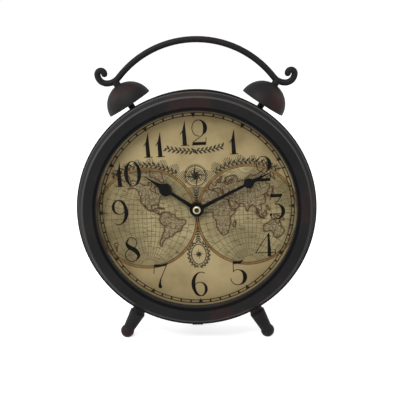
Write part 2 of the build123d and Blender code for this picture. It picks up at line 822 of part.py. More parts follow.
def minute_wheel():
    x, z = minute_wheel_axis
    large = wheel(
        MINUTE_WHEEL_TEETH, MOTION_MODULE, minute_wheel_phase, minute_wheel_axis, *minute_layer
    )
    small = wheel(
        MINUTE_PINION_TEETH, hour_module, minute_wheel_phase, minute_wheel_axis,
        hour_layer[0] - PINION_OVERHANG, minute_layer[0],
    )
    bore = disc(MOTION_PIN_R + RUN, hour_layer[0] - PINION_OVERHANG, minute_layer[1], x, z)
    return large + small - bore


def set_arbor():
    x, z = set_axis
    pinion = wheel(
        SET_TEETH, MOTION_MODULE, set_phase, set_axis,
        minute_layer[0] - PINION_OVERHANG, minute_layer[1] + PINION_OVERHANG,
    )
    pivot = disc(SET_PIVOT_R, move_front + SHELL_WALL / 2, minute_layer[0], x, z)
    knob_back = move_back + SET_KNOB_GAP + SET_KNOB_THICK
    shaft = disc(SET_ARBOR_R, minute_layer[1], knob_back - SET_KNOB_CAP, x, z)
    return pinion + pivot + shaft


def set_knob():
    x, z = set_axis
    front = move_back + SET_KNOB_GAP
    back = front + SET_KNOB_THICK
    knob = disc(SET_KNOB_R, front, back, x, z)
    for dx, dz in around(SET_KNOB_R, SET_FLUTES, 0):
        knob -= disc(SET_FLUTE_R, front, back, x + dx, z + dz)
    return knob - disc(SET_ARBOR_R, front, back - SET_KNOB_CAP, x, z)


def geared_arbor(axis, pinion, large, layer_front, layer_back):
    """Arbor with pivots in the middle plate and the rear shell, with its two gears."""
    x, z = axis
    shaft = disc(TRAIN_ARBOR_R, plate_back + PLATE_GAP, chamber_back - PLATE_GAP, x, z)
    pivots = disc(TRAIN_PIVOT_R, plate_back - TRAIN_PIVOT, chamber_back + TRAIN_PIVOT, x, z)
    teeth, module, phase = pinion
    solid = shaft + pivots + wheel(
        teeth, module, phase, axis, layer_front[0] - PINION_OVERHANG, layer_front[1] + PINION_OVERHANG
    )
    if large:
        teeth, module, phase = large
        solid += wheel(teeth, module, phase, axis, *layer_back)
    return solid


def centre_wheel():
    layer = train_layer(0)
    gear_disc = wheel(CENTRE_TEETH, CENTRE_MODULE, 0.0, HAND_AXIS, *layer)
    hub = disc(TRAIN_HUB_R, layer[0], layer[1] + TRAIN_HUB)
    return gear_disc + hub - disc(ARBOR_TAIL_R + RUN, layer[0], layer[1] + TRAIN_HUB)


def third_wheel():
    return geared_arbor(
        third_axis,
        (THIRD_PINION_TEETH, CENTRE_MODULE, third_phase),
        (THIRD_TEETH, THIRD_MODULE, third_phase),
        train_layer(0), train_layer(1),
    )


def seconds_wheel():
    return geared_arbor(
        seconds_axis,
        (SECONDS_PINION_TEETH, THIRD_MODULE, seconds_phase),
        (SECONDS_TEETH, SECONDS_MODULE, seconds_phase),
        train_layer(1), train_layer(2),
    )


def fifth_wheel():
    return geared_arbor(
        fifth_axis,
        (FIFTH_PINION_TEETH, SECONDS_MODULE, fifth_phase),
        (FIFTH_TEETH, FIFTH_MODULE, fifth_phase),
        train_layer(2), train_layer(3),
    )


def rotor():
    x, z = rotor_axis
    solid = geared_arbor(
        rotor_axis, (ROTOR_TEETH, FIFTH_MODULE, rotor_phase), None, train_layer(3), None
    )
    return solid + disc(MAGNET_R, magnet_front, magnet_front + MAGNET_LENGTH, x, z)


def pillar_places():
    half = room_half - PILLAR_INSET
    heights = (-CHAMBER_BELOW + PILLAR_INSET, CHAMBER_ABOVE - PILLAR_INSET)
    return [(side * half, z) for side in (-1, 1) for z in heights]


def shell_box(front, back, open_front, open_back):
    """Movement shell between two depths, with its chamber and battery bay cut out."""
    solid = block(-move_half, move_half, front, back, move_bottom, move_top)
    solid -= block(-room_half, room_half, open_front, open_back, -CHAMBER_BELOW, CHAMBER_ABOVE)
    return solid - block(-room_half, room_half, open_front, open_back, bay_bottom, bay_top)


def movement_front_shell():
    solid = shell_box(move_front, shell_split, chamber_front, shell_split)
    for x, z in pillar_places():
        solid += disc(PILLAR_R, chamber_front, plate_front, x, z)
    x, z = minute_wheel_axis
    solid += disc(MOTION_PIN_R, chamber_front, plate_front, x, z)
    x, z = set_axis
    solid -= disc(SET_PIVOT_R + RUN, move_front + SHELL_WALL / 2, chamber_front, x, z)
    return solid - disc(BUSH_R, move_front, chamber_front)


def movement_rear_shell():
    solid = shell_box(shell_split, move_back, shell_split, chamber_back)
    solid -= block(-room_half, room_half, chamber_back, move_back, bay_bottom, bay_top)
    for x, z in pillar_places():
        solid += disc(PILLAR_R, plate_back, chamber_back, x, z)
    x, z = set_axis
    solid -= disc(SET_ARBOR_R + RUN, chamber_back, move_back, x, z)
    for x, z in train_axes:
        solid -= disc(TRAIN_PIVOT_R + RUN, chamber_back, chamber_back + TRAIN_PIVOT + RUN, x, z)
    pivot_end = chamber_back + SHELL_WALL / 2 + RUN
    return solid - disc(ARBOR_TAIL_R + RUN, chamber_back, pivot_end)


def middle_plate():
    half = room_half - PLATE_GAP
    low = -CHAMBER_BELOW + PLATE_GAP
    solid = block(-half, half, plate_front, plate_back, low, CHAMBER_ABOVE - PLATE_GAP)
    solid -= disc(ARBOR_R + SIDE_PLAY, plate_front, plate_back)
    solid -= disc(SET_ARBOR_R + SIDE_PLAY, plate_front, plate_back, *set_axis)
    for x, z in train_axes:
        solid -= disc(TRAIN_PIVOT_R + RUN, plate_back - TRAIN_PIVOT - RUN, plate_back, x, z)
    for x, z in stator_feet():
        solid += disc(STATOR_ARM / 2, plate_back, stator_front, x, z)
    return solid


def movement_gasket():
    half = SEAL_SIZE / 2
    pad = block(-half, half, board_back, move_front, -half, half)
    return pad - disc(BUSH_R + BOLT_GAP, board_back, move_front)


def threaded_bushing():
    tube = disc(BUSH_R, bush_front, chamber_front)
    flange = disc(BUSH_FLANGE_R, chamber_front, bush_back)
    return tube + flange - disc(PIPE_R + RUN, bush_front, bush_back)


def dial_washer():
    return ring(DIAL_WASHER_R, BUSH_R + BOLT_GAP, dial_nut_back, paper_front)


def dial_nut():
    return slab(hexagon(DIAL_NUT_FLATS) - Circle(BUSH_R), dial_nut_front, dial_nut_back)


# The stator: a ring round the magnet and two arms that rise to the coil
core_z = rotor_axis[1] + STATOR_RISE
magnet_hole_r = MAGNET_R + MAGNET_AIR
stator_ring_r = magnet_hole_r + STATOR_RIM
core_left = rotor_axis[0] - STATOR_REACH
core_right = rotor_axis[0] + stator_ring_r


def stator_feet():
    half = STATOR_ARM / 2
    return [(core_left + half, core_z), (core_right - half, core_z)]


def stator_core():
    half = STATOR_ARM / 2
    return block(core_left, core_right, stator_front, stator_back, core_z - half, core_z + half)


def stator():
    x, z = rotor_axis
    shelf = z + stator_ring_r
    left_in = core_left + STATOR_ARM
    right_in = core_right - STATOR_ARM
    solid = disc(stator_ring_r, stator_front, stator_back, x, z) + stator_core()
    solid += block(core_left, x, stator_front, stator_back, shelf - STATOR_ARM, shelf)
    solid += block(core_left, left_in, stator_front, stator_back, shelf - STATOR_ARM, core_z)
    solid += block(right_in, core_right, stator_front, stator_back, z, core_z)
    return solid - disc(magnet_hole_r, stator_front, stator_back, x, z)


def coil():
    centre_x = (core_left + core_right) / 2
    centre_y = (stator_front + stator_back) / 2
    length = core_right - core_left - 2 * STATOR_ARM - 2 * SIDE_PLAY
    winding = Pos(centre_x, centre_y, core_z) * Rot(Y=90) * Cylinder(COIL_R, length)
    return winding - stator_core()


# The circuit board lies on the middle plate, to the left of the train
circuit_right = -CIRCUIT_INSET
circuit_left = circuit_right - CIRCUIT_WIDTH
circuit_top = CHAMBER_ABOVE - 2 * PILLAR_INSET
circuit_low = circuit_top - CIRCUIT_HEIGHT
circuit_back = plate_back + CIRCUIT_THICK


def circuit_board():
    solid = block(circuit_left, circuit_right, plate_back, circuit_back, circuit_low, circuit_top)
    chip_x = circuit_right - CIRCUIT_WIDTH / 3
    chip_z = circuit_top - CIRCUIT_HEIGHT / 3
    return solid + disc(CHIP_R, circuit_back, circuit_back + CHIP_HEIGHT, chip_x, chip_z)


def quartz_crystal():
    centre_x = (circuit_left + circuit_right) / 2
    centre_z = circuit_low + CRYSTAL_R + BOLT_GAP
    can = Rot(Y=90) * Cylinder(CRYSTAL_R, CRYSTAL_LENGTH)
    return Pos(centre_x, circuit_back + CRYSTAL_R, centre_z) * can


def battery():
    total = CELL_LENGTH + CELL_NUB
    can = Pos(-CELL_NUB / 2, 0, 0) * Rot(Y=90) * Cylinder(CELL_R, CELL_LENGTH)
    can = fillet(can.edges().filter_by(GeomType.CIRCLE), CELL_EDGE)
    nub_left = total / 2 - CELL_NUB
    nub = Pos(nub_left + CELL_NUB / 2, 0, 0) * Rot(Y=90) * Cylinder(CELL_NUB_R, CELL_NUB)
    return Pos(0, cell_axis_y, cell_axis_z) * (can + nub)


def contact(side):
    """Folded sheet that stands between the end of the cell and the wall of its bay."""
    touch = (CELL_LENGTH + CELL_NUB) / 2 + CONTACT_GAP
    half = CONTACT_WIDTH / 2
    front = cell_axis_y - half
    back = cell_axis_y + half
    face = block(touch, touch + CONTACT_SHEET, front, back, -half, half)
    upper = block(touch, room_half, front, back, half - CONTACT_SHEET, half)
    lower = block(touch, room_half, front, back, -half, CONTACT_SHEET - half)
    sheet = Pos(0, 0, cell_axis_z) * (face + upper + lower)
    return sheet if side > 0 else twin(sheet)


def assembly():
    """Every node with its solids, still upright in the case frame."""
    handle_solid = handle()
    collar = bell_collar(handle_solid)
    return {
        "bezel": [bezel()],
        "glass": [glass()],
        "glass_gasket": [glass_gasket()],
        "dial_spacer": [dial_spacer()],
        "dial_face": [dial_face()],
        "dial_board": [dial_board()],
        "case_drum": [case_drum()],
        "bezel_screws": bezel_screws(),
        "rear_cover": [rear_cover()],
        "rear_cover_screws": rear_cover_screws(),
        "foot_right": [foot()],
        "foot_left": [twin(foot())],
        "foot_washers": both(foot_washer()),
        "foot_screws": both(foot_screw()),
        "rear_foot": [rear_foot()],
        "rear_foot_boot": [rear_foot_boot()],
        "rear_foot_screws": rear_foot_screws(),
        "bell_right": [bell()],
        "bell_left": [twin(bell())],
        "bell_sleeve_right": [bell_sleeve()],
        "bell_sleeve_left": [twin(bell_sleeve())],
        "bell_studs": both(bell_stud()),
        "bell_collars": both(collar),
        "stud_washers": both(stud_washer()),
        "stud_nuts": both(stud_nut()),
        "handle": [handle_solid],
        "movement_gasket": [movement_gasket()],
        "movement_front_shell": [movement_front_shell()],
        "movement_rear_shell": [movement_rear_shell()],
        "middle_plate": [middle_plate()],
        "threaded_bushing": [threaded_bushing()],
        "dial_washer": [dial_washer()],
        "dial_nut": [dial_nut()],
        "minute_arbor": [minute_arbor()],
        "minute_hand": [minute_hand()],
        "hand_nut": [hand_nut()],
        "hour_wheel": [hour_wheel()],
        "hour_hand": [hour_hand()],
        "minute_wheel": [minute_wheel()],
        "set_arbor": [set_arbor()],
        "set_knob": [set_knob()],
        "centre_wheel": [centre_wheel()],
        "third_wheel": [third_wheel()],
        "seconds_wheel": [seconds_wheel()],
        "fifth_wheel": [fifth_wheel()],
        "rotor": [rotor()],
        "stator": [stator()],
        "coil": [coil()],
        "circuit_board": [circuit_board()],
        "quartz_crystal": [quartz_crystal()],
        "battery": [battery()],
        "positive_contact": [contact(1)],
        "negative_contact": [contact(-1)],
    }


def stand(nodes):
    """Placement that leans the case, stands it on the table and centres its depth."""
    leaned = [LEANED * solid for solids in nodes.values() for solid in solids]
    boxes = [solid.bounding_box() for solid in leaned]
    front = min(box.min.Y for box in boxes)
    back = max(box.max.Y for box in boxes)
    return Pos(0, -(front + back) / 2, 0) * LEANED


def report_places(placement):
    """Print where the joint axes and rest faces are, in the standing frame."""
    backwards = (placement * Pos(0, 1, 0)).position - placement.position
    print("axis", [round(value, 6) for value in backwards])
    places = {
        "hands": (*HAND_AXIS, paper_front),
        "minute_wheel": (*minute_wheel_axis, minute_layer[0]),
        "set_knob": (*set_axis, move_back),
        "third_wheel": (*third_axis, train_layer(1)[0]),
        "seconds_wheel": (*seconds_axis, train_layer(2)[0]),
        "fifth_wheel": (*fifth_axis, train_layer(3)[0]),
        "rotor": (*rotor_axis, train_layer(3)[0]),
        "battery": (0.0, cell_axis_z, cell_axis_y),
        "ball_right": (ball_at * sin(radians(FOOT_ANGLE)), ball_z, FOOT_DEPTH),
        "boot": (0.0, -axis_height, (cover_back + strip_back) / 2),
    }
    for name, (x, z, y) in places.items():
        spot = (placement * Pos(x, y, z)).position
        print("place", name, [round(value, 4) for value in spot])


def main():
    os.makedirs("parts", exist_ok=True)
    nodes = assembly()
    placement = stand(nodes)
    for name, solids in nodes.items():
        placed = [placement * solid for solid in solids]
        shape = placed[0] if len(placed) == 1 else Compound(placed)
        export_step(shape, f"parts/{name}.step")
    report_places(placement)


main()
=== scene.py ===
import json
import math
import random

import bpy
from mathutils import Matrix, Vector
from mathutils.geometry import tessellate_polygon


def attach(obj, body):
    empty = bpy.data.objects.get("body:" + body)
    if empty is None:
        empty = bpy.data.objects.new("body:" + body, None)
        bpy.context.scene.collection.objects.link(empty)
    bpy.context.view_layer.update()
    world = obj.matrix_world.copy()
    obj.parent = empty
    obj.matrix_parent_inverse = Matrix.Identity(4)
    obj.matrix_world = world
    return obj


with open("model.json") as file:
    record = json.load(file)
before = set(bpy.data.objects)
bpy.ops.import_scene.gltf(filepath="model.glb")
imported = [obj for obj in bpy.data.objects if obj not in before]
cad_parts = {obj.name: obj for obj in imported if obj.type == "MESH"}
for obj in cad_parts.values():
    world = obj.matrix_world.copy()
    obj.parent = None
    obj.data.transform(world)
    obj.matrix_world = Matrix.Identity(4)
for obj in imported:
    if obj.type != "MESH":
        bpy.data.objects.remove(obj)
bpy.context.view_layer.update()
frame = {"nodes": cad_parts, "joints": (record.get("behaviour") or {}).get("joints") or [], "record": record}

# The dial print is drawn in millimetres on the dial, x to the right and y up,
# and is placed by the axis that the hands turn on
MM = 0.001
DIAL_TURN = math.radians(2.0)
PRINT_X = 0.2
PRINT_Y = -0.6
INK_SINK = 0.03

hand_joint = next(j for j in frame["joints"] if j["name"] == "minute_hand_turn")
dial_centre = Vector(hand_joint["pos_m"])
inwards = Vector(hand_joint["axis"]).normalized()
case_right = Vector((1.0, 0.0, 0.0))
case_up = case_right.cross(inwards)
print_right = case_right * math.cos(DIAL_TURN) + case_up * math.sin(DIAL_TURN)
print_up = case_up * math.cos(DIAL_TURN) - case_right * math.sin(DIAL_TURN)


def on_dial(x, y, lift):
    """Point on the dial, lifted towards the glass."""
    across = print_right * (x + PRINT_X) + print_up * (y + PRINT_Y)
    return dial_centre + (across - inwards * lift) * MM


# Node materials; scales of noise are in features per metre
NOISE_ROUGHNESS = 0.55
NOISE_DETAIL = 4.0
NOISE_LOW = 0.3
NOISE_HIGH = 0.7
GLOSS_SCALE = 3.0
GRAIN_DETAIL = 2.0
GRAIN_HEIGHT = 0.0002
TONE_LOW = 0.35
TONE_HIGH = 0.65
NEW_STOP = 0.5
WHITE = (1.0, 1.0, 1.0, 1.0)


def new_material(name):
    """Empty node material with a principled shader."""
    material = bpy.data.materials.new(name)
    material.use_nodes = True
    nodes = material.node_tree.nodes
    nodes.clear()
    shader = nodes.new("ShaderNodeBsdfPrincipled")
    output = nodes.new("ShaderNodeOutputMaterial")
    material.node_tree.links.new(shader.outputs["BSDF"], output.inputs["Surface"])
    return material, shader


def noise(material, scale, detail=NOISE_DETAIL, seed=0.0):
    """Noise in the object's own coordinates."""
    tree = material.node_tree
    place = tree.nodes.new("ShaderNodeTexCoord")
    texture = tree.nodes.new("ShaderNodeTexNoise")
    texture.noise_dimensions = "4D"
    texture.inputs["W"].default_value = seed
    texture.inputs["Scale"].default_value = scale
    texture.inputs["Detail"].default_value = detail
    texture.inputs["Roughness"].default_value = NOISE_ROUGHNESS
    tree.links.new(place.outputs["Object"], texture.inputs["Vector"])
    return texture.outputs["Fac"]


def ramp(material, value, stops):
    """Colour ramp through (position, colour) stops."""
    tree = material.node_tree
    node = tree.nodes.new("ShaderNodeValToRGB")
    elements = node.color_ramp.elements
    while len(elements) < len(stops):
        elements.new(NEW_STOP)
    for element, (position, colour) in zip(elements, stops):
        element.position = position
        element.color = (*colour, 1.0)
    tree.links.new(value, node.inputs["Fac"])
    return node.outputs["Color"]


def spread(material, value, low, high):
    """Map a noise value onto a range."""
    tree = material.node_tree
    node = tree.nodes.new("ShaderNodeMapRange")
    node.inputs["From Min"].default_value = NOISE_LOW
    node.inputs["From Max"].default_value = NOISE_HIGH
    node.inputs["To Min"].default_value = low
    node.inputs["To Max"].default_value = high
    tree.links.new(value, node.inputs["Value"])
    return node.outputs["Result"]


def bump(material, shader, value, strength):
    """Fine relief from a noise value."""
    tree = material.node_tree
    node = tree.nodes.new("ShaderNodeBump")
    node.inputs["Strength"].default_value = strength
    node.inputs["Distance"].default_value = GRAIN_HEIGHT
    tree.links.new(value, node.inputs["Height"])
    tree.links.new(node.outputs["Normal"], shader.inputs["Normal"])


def surface(
    name, stops, scale, rough, metallic=0.0, specular=0.5, grain=None, detail=NOISE_DETAIL, seed=0.0,
):
    """Procedural finish: colours through a noise, varied gloss and an optional fine grain."""
    material, shader = new_material(name)
    tree = material.node_tree
    tone = noise(material, scale, detail, seed)
    tree.links.new(ramp(material, tone, stops), shader.inputs["Base Color"])
    gloss = spread(material, noise(material, scale * GLOSS_SCALE), *rough)
    tree.links.new(gloss, shader.inputs["Roughness"])
    shader.inputs["Metallic"].default_value = metallic
    shader.inputs["Specular IOR Level"].default_value = specular
    if grain:
        grain_scale, strength = grain
        bump(material, shader, noise(material, grain_scale, GRAIN_DETAIL), strength)
    return material


def axis_share(material, radius):
    """Distance from the hand axis as a share of a radius."""
    tree = material.node_tree
    place = tree.nodes.new("ShaderNodeTexCoord")
    offset = tree.nodes.new("ShaderNodeVectorMath")
    offset.operation = "SUBTRACT"
    offset.inputs[1].default_value = dial_centre
    across = tree.nodes.new("ShaderNodeVectorMath")
    across.operation = "CROSS_PRODUCT"
    across.inputs[1].default_value = inwards
    reach = tree.nodes.new("ShaderNodeVectorMath")
    reach.operation = "LENGTH"
    share = tree.nodes.new("ShaderNodeMath")
    share.operation = "DIVIDE"
    share.inputs[1].default_value = radius
    tree.links.new(place.outputs["Object"], offset.inputs[0])
    tree.links.new(offset.outputs["Vector"], across.inputs[0])
    tree.links.new(across.outputs["Vector"], reach.inputs[0])
    tree.links.new(reach.outputs["Value"], share.inputs[0])
    return share.outputs["Value"]


def height_share(material, low, high, least):
    """Grows with height from a least value at a low place to one at a high place."""
    tree = material.node_tree
    place = tree.nodes.new("ShaderNodeTexCoord")
    parts = tree.nodes.new("ShaderNodeSeparateXYZ")
    share = tree.nodes.new("ShaderNodeMapRange")
    share.inputs["From Min"].default_value = low
    share.inputs["From Max"].default_value = high
    share.inputs["To Min"].default_value = least
    tree.links.new(place.outputs["Object"], parts.inputs["Vector"])
    tree.links.new(parts.outputs["Z"], share.inputs["Value"])
    return share.outputs["Result"]


def product(material, first, second):
    """One node value times another."""
    tree = material.node_tree
    node = tree.nodes.new("ShaderNodeMath")
    node.operation = "MULTIPLY"
    tree.links.new(first, node.inputs[0])
    tree.links.new(second, node.inputs[1])
    return node.outputs["Value"]


def recolour(material, kind, factor, colour):
    """Blend a colour over the base colour; one of factor and colour comes from a node."""
    tree = material.node_tree
    shader = next(node for node in tree.nodes if node.type == "BSDF_PRINCIPLED")
    blend = tree.nodes.new("ShaderNodeMix")
    blend.data_type = "RGBA"
    blend.blend_type = kind
    tree.links.new(shader.inputs["Base Color"].links[0].from_socket, blend.inputs["A"])
    for value, socket in ((factor, blend.inputs["Factor"]), (colour, blend.inputs["B"])):
        if isinstance(value, bpy.types.NodeSocket):
            tree.links.new(value, socket)
        else:
            socket.default_value = value
    tree.links.new(blend.outputs["Result"], shader.inputs["Base Color"])
    return material


def grey(level):
    return (level, level, level)


# Painted shade: the print darkens towards the edge of the dial, where the bezel shades it
EDGE_SHADE_RADIUS = 0.0855
EDGE_SHADE_START = 0.62
EDGE_SHADE_TONE = (0.80, 0.77, 0.72)


def age_edge(material):
    """Darken a print towards the edge of the dial: painted shade of the bezel on the recessed dial."""
    share = axis_share(material, EDGE_SHADE_RADIUS)
    shade = ramp(material, share, [(EDGE_SHADE_START, grey(1.0)), (1.0, EDGE_SHADE_TONE)])
    return recolour(material, "MULTIPLY", 1.0, shade)


def two_tone(dark, light):
    return [(TONE_LOW, dark), (TONE_HIGH, light)]


BRONZE_BLACK = (0.0135, 0.0135, 0.0142)
BRONZE_GREY = (0.0165, 0.0158, 0.0162)
BRONZE_RED = (0.0350, 0.0175, 0.0155)
BRONZE_STOPS = ((0.36, BRONZE_BLACK), (0.52, BRONZE_GREY), (0.66, BRONZE_RED))


def bronze_material(name, rough, specular, shade_depth=1.0, seed=0.0):
    """Rubbed bronze paint; a depth under one darkens it as painted shade, for parts that the lamps light
    more.
    """
    stops = [(place, tuple(shade_depth * part for part in tone)) for place, tone in BRONZE_STOPS]
    return surface(
        name, stops, scale=26.0, rough=rough, specular=specular, grain=(1500.0, 0.10), detail=6.0,
        seed=seed,
    )


# Rings of the bezel as shares of its radius, and the painted highlights and painted shade on them
BEZEL_RADIUS = 0.1032
LIP_END = 0.834
BEVEL_START = 0.839
BEVEL_END = 0.862
BAND_START = 0.866
RIDGE_START = 0.938
RIDGE_END = 0.957
ROLL_START = 0.978
ROLL_LINE = 0.986
ROLL_BLACK = 0.992
LIP_HIGHLIGHT = 0.3
RIDGE_HIGHLIGHT = 0.7
FLANK_HIGHLIGHT = 0.05
BEVEL_SHADE = 0.35
OUTER_ROLL_SHADE = 0.1
HIGHLIGHT_METAL = (0.090, 0.085, 0.080, 1.0)
HIGHLIGHT_LOW = 0.03
HIGHLIGHT_HIGH = 0.16
HIGHLIGHT_LEAST = 0.1
BEZEL_SEED = 4.7


def bezel_material():
    """Bronze paint with painted highlights along the lip, the ridge and the rolled edge, stronger higher up,
    and painted shade in the bevel and on the outermost roll.
    """
    material = bronze_material("bezel", rough=(0.24, 0.34), specular=0.012, seed=BEZEL_SEED)
    # Painted highlights: bright metal colour on the lip, the ridge and the rolled edge, fading towards the
    # bottom
    painted_highlight = ramp(material, axis_share(material, BEZEL_RADIUS), [
        (LIP_END, grey(LIP_HIGHLIGHT)), (BEVEL_START, grey(0.0)), (RIDGE_START, grey(0.0)),
        ((RIDGE_START + RIDGE_END) / 2, grey(RIDGE_HIGHLIGHT)), (RIDGE_END, grey(FLANK_HIGHLIGHT)),
        (ROLL_START, grey(FLANK_HIGHLIGHT)), (ROLL_LINE, grey(1.0)), (ROLL_BLACK, grey(0.0)),
    ])
    lit_from_above = height_share(material, HIGHLIGHT_LOW, HIGHLIGHT_HIGH, HIGHLIGHT_LEAST)
    recolour(material, "MIX", product(material, painted_highlight, lit_from_above), HIGHLIGHT_METAL)
    # Painted shade: the bevel inside the band and the outermost roll are darkened
    painted_shade = ramp(material, axis_share(material, BEZEL_RADIUS), [
        (LIP_END, grey(1.0)), (BEVEL_START, grey(BEVEL_SHADE)), (BEVEL_END, grey(BEVEL_SHADE)),
        (BAND_START, grey(1.0)), (ROLL_LINE, grey(1.0)), (ROLL_BLACK, grey(OUTER_ROLL_SHADE)),
    ])
    return recolour(material, "MULTIPLY", 1.0, painted_shade)


PAPER_DARK = (0.182, 0.138, 0.064)
PAPER_MID = (0.328, 0.260, 0.133)
PAPER_LIGHT = (0.405, 0.330, 0.180)


def paper_material():
    """Old paper in three tones with a fine grain."""
    return surface(
        "dial_print", [(0.22, PAPER_DARK), (0.5, PAPER_MID), (0.78, PAPER_LIGHT)], scale=30.0,
        rough=(0.55, 0.7), specular=0.1, grain=(2500.0, 0.05), detail=9.0,
    )


def ink(name, dark, light, scale=500.0):
    """Dull print in two tones."""
    return surface(name, two_tone(dark, light), scale, rough=(0.5, 0.65), specular=0.05)


MIRROR_START = 0.25
MIRROR_END = 1.0
MIRROR_MOST = 0.35
SMEAR_SCALE = 14.0
SMEAR_GLOSS = (0.01, 0.05)


def glass_material():
    """Clear pane: see-through from in front, with a mirror that grows towards the side."""
    material, shader = new_material("clear_glass")
    tree = material.node_tree
    shader.inputs["Base Color"].default_value = WHITE
    shader.inputs["Metallic"].default_value = 1.0
    slant = tree.nodes.new("ShaderNodeLayerWeight")
    mirror = tree.nodes.new("ShaderNodeMapRange")
    mirror.inputs["From Min"].default_value = MIRROR_START
    mirror.inputs["From Max"].default_value = MIRROR_END
    mirror.inputs["To Max"].default_value = MIRROR_MOST
    tree.links.new(slant.outputs["Facing"], mirror.inputs["Value"])
    tree.links.new(mirror.outputs["Result"], shader.inputs["Alpha"])
    smear = spread(material, noise(material, SMEAR_SCALE), *SMEAR_GLOSS)
    tree.links.new(smear, shader.inputs["Roughness"])
    return material


NUT_RADIUS = 0.0035
# Painted reflection: a pale ring on the nut stands for the bright reflection of the brass
NUT_PAINTED_SHINE = (0.58, 0.52, 0.33)
NUT_DARK = (0.020, 0.014, 0.005)
NUT_RINGS = ((0.52, NUT_DARK), (0.74, NUT_PAINTED_SHINE), (0.88, NUT_PAINTED_SHINE), (1.0, NUT_DARK))
NUT_METALLIC = 0.25
NUT_SPECULAR = 0.2
NUT_SCALE = 600.0
NUT_GLOSS = (0.22, 0.32)


def nut_material():
    """Brass, darker in the middle of the nut and at its edge, with a pale ring between them as painted
    reflection.
    """
    material, shader = new_material("hand_nut")
    tree = material.node_tree
    tone = ramp(material, axis_share(material, NUT_RADIUS), NUT_RINGS)
    tree.links.new(tone, shader.inputs["Base Color"])
    shader.inputs["Metallic"].default_value = NUT_METALLIC
    shader.inputs["Specular IOR Level"].default_value = NUT_SPECULAR
    gloss = spread(material, noise(material, NUT_SCALE), *NUT_GLOSS)
    tree.links.new(gloss, shader.inputs["Roughness"])
    return material


# Finish of each material slot of the record
finishes = {
    # the same bronze, painted darker as shade than the bezel
    "bronze_case": bronze_material("bronze_case", rough=(0.42, 0.55), specular=0.07, shade_depth=0.72),
    "case_black": surface(
        "case_black", two_tone((0.004, 0.004, 0.004), (0.009, 0.0085, 0.0085)), scale=60.0,
        rough=(0.6, 0.75), specular=0.05, grain=(1500.0, 0.3),
    ),
    "hand_black": surface(
        "hand_black", two_tone((0.003, 0.003, 0.003), (0.006, 0.006, 0.006)), scale=120.0,
        rough=(0.42, 0.55), specular=0.05,
    ),
    "brass": surface(
        "brass", two_tone((0.46, 0.37, 0.20), (0.60, 0.50, 0.30)), scale=300.0, rough=(0.16, 0.26),
        metallic=1.0,
    ),
    "clear_glass": glass_material(),
    # dial paper with painted shade towards the edge
    "dial_print": age_edge(paper_material()),
    "dial_backing": surface(
        "dial_backing", two_tone((0.20, 0.15, 0.10), (0.27, 0.21, 0.14)), scale=300.0, rough=(0.75, 0.9),
        specular=0.2, grain=(3000.0, 0.2),
    ),
    "black_plastic": surface(
        "black_plastic", two_tone((0.012, 0.012, 0.013), (0.020, 0.020, 0.021)), scale=90.0,
        rough=(0.42, 0.55), specular=0.4, grain=(4000.0, 0.1),
    ),
    "pale_plastic": surface(
        "pale_plastic", two_tone((0.62, 0.60, 0.54), (0.72, 0.70, 0.64)), scale=150.0, rough=(0.35, 0.5),
    ),
    "rubber": surface(
        "rubber", two_tone((0.014, 0.014, 0.014), (0.024, 0.024, 0.023)), scale=250.0, rough=(0.7, 0.85),
        specular=0.25, grain=(5000.0, 0.15),
    ),
    "zinc_steel": surface(
        "zinc_steel", two_tone((0.40, 0.40, 0.38), (0.55, 0.55, 0.52)), scale=400.0, rough=(0.28, 0.42),
        metallic=1.0,
    ),
    "spring_steel": surface(
        "spring_steel", two_tone((0.42, 0.42, 0.43), (0.56, 0.56, 0.57)), scale=300.0, rough=(0.22, 0.34),
        metallic=1.0,
    ),
    "copper_winding": surface(
        "copper_winding", two_tone((0.45, 0.17, 0.06), (0.62, 0.27, 0.11)), scale=900.0, rough=(0.25, 0.4),
        metallic=1.0, grain=(6000.0, 0.4),
    ),
    "circuit_green": surface(
        "circuit_green", two_tone((0.03, 0.12, 0.04), (0.05, 0.18, 0.07)), scale=300.0, rough=(0.3, 0.45),
    ),
    "crystal_can": surface(
        "crystal_can", two_tone((0.58, 0.58, 0.60), (0.70, 0.70, 0.72)), scale=500.0, rough=(0.2, 0.3),
        metallic=1.0,
    ),
    "cell_jacket": surface(
        "cell_jacket", two_tone((0.05, 0.09, 0.16), (0.08, 0.13, 0.21)), scale=120.0, rough=(0.25, 0.35),
    ),
}


# Nodes with a finish of their own: the nut, the bezel with painted highlights and painted shade, the painted
# rear cover, the dull bells and handle, painted darker as shade, and the dark brass under the hands
node_finishes = {
    "hand_nut": nut_material(),
    "bezel": bezel_material(),
    "rear_cover": surface(
        "rear_cover", two_tone((0.009, 0.009, 0.009), (0.021, 0.020, 0.020)), scale=45.0,
        rough=(0.45, 0.6), specular=0.3, grain=(1500.0, 0.4), detail=8.0,
    ),
}
for node, seed in (("bell_left", 3.0), ("bell_right", 5.0), ("handle", 0.0)):
    # Bells and handle: the same bronze painted darker as shade, since the lamps light them more
    node_finishes[node] = bronze_material(node, rough=(0.50, 0.62), specular=0.08, shade_depth=0.62, seed=seed)
for node in ("threaded_bushing", "dial_nut", "dial_washer"):
    node_finishes[node] = surface(
        node, two_tone((0.030, 0.024, 0.014), (0.055, 0.044, 0.026)), scale=300.0, rough=(0.4, 0.5),
        metallic=0.6,
    )


def dress_nodes():
    """Give every CAD node the finish of its slot, or its own."""
    for part in frame["record"]["subparts"]:
        node = part["node"]
        mesh = frame["nodes"][node].data
        mesh.materials.clear()
        mesh.materials.append(node_finishes.get(node, finishes[part["material_slot"]]))


# Heights of the prints above the paper, in millimetres
GROUND_LIFT = 0.02
SHORE_LIFT = 0.03
LAND_LIFT = 0.04
HATCH_LIFT = 0.05
GRID_LIFT = 0.055
MARK_LIFT = 0.065
COAST_LIFT = 0.07
ORNAMENT_LIFT = 0.08
RIM_LIFT = 0.09
RIM_LINE_LIFT = 0.095
TRACK_LIFT = 0.10
NUMBER_LIFT = 0.12


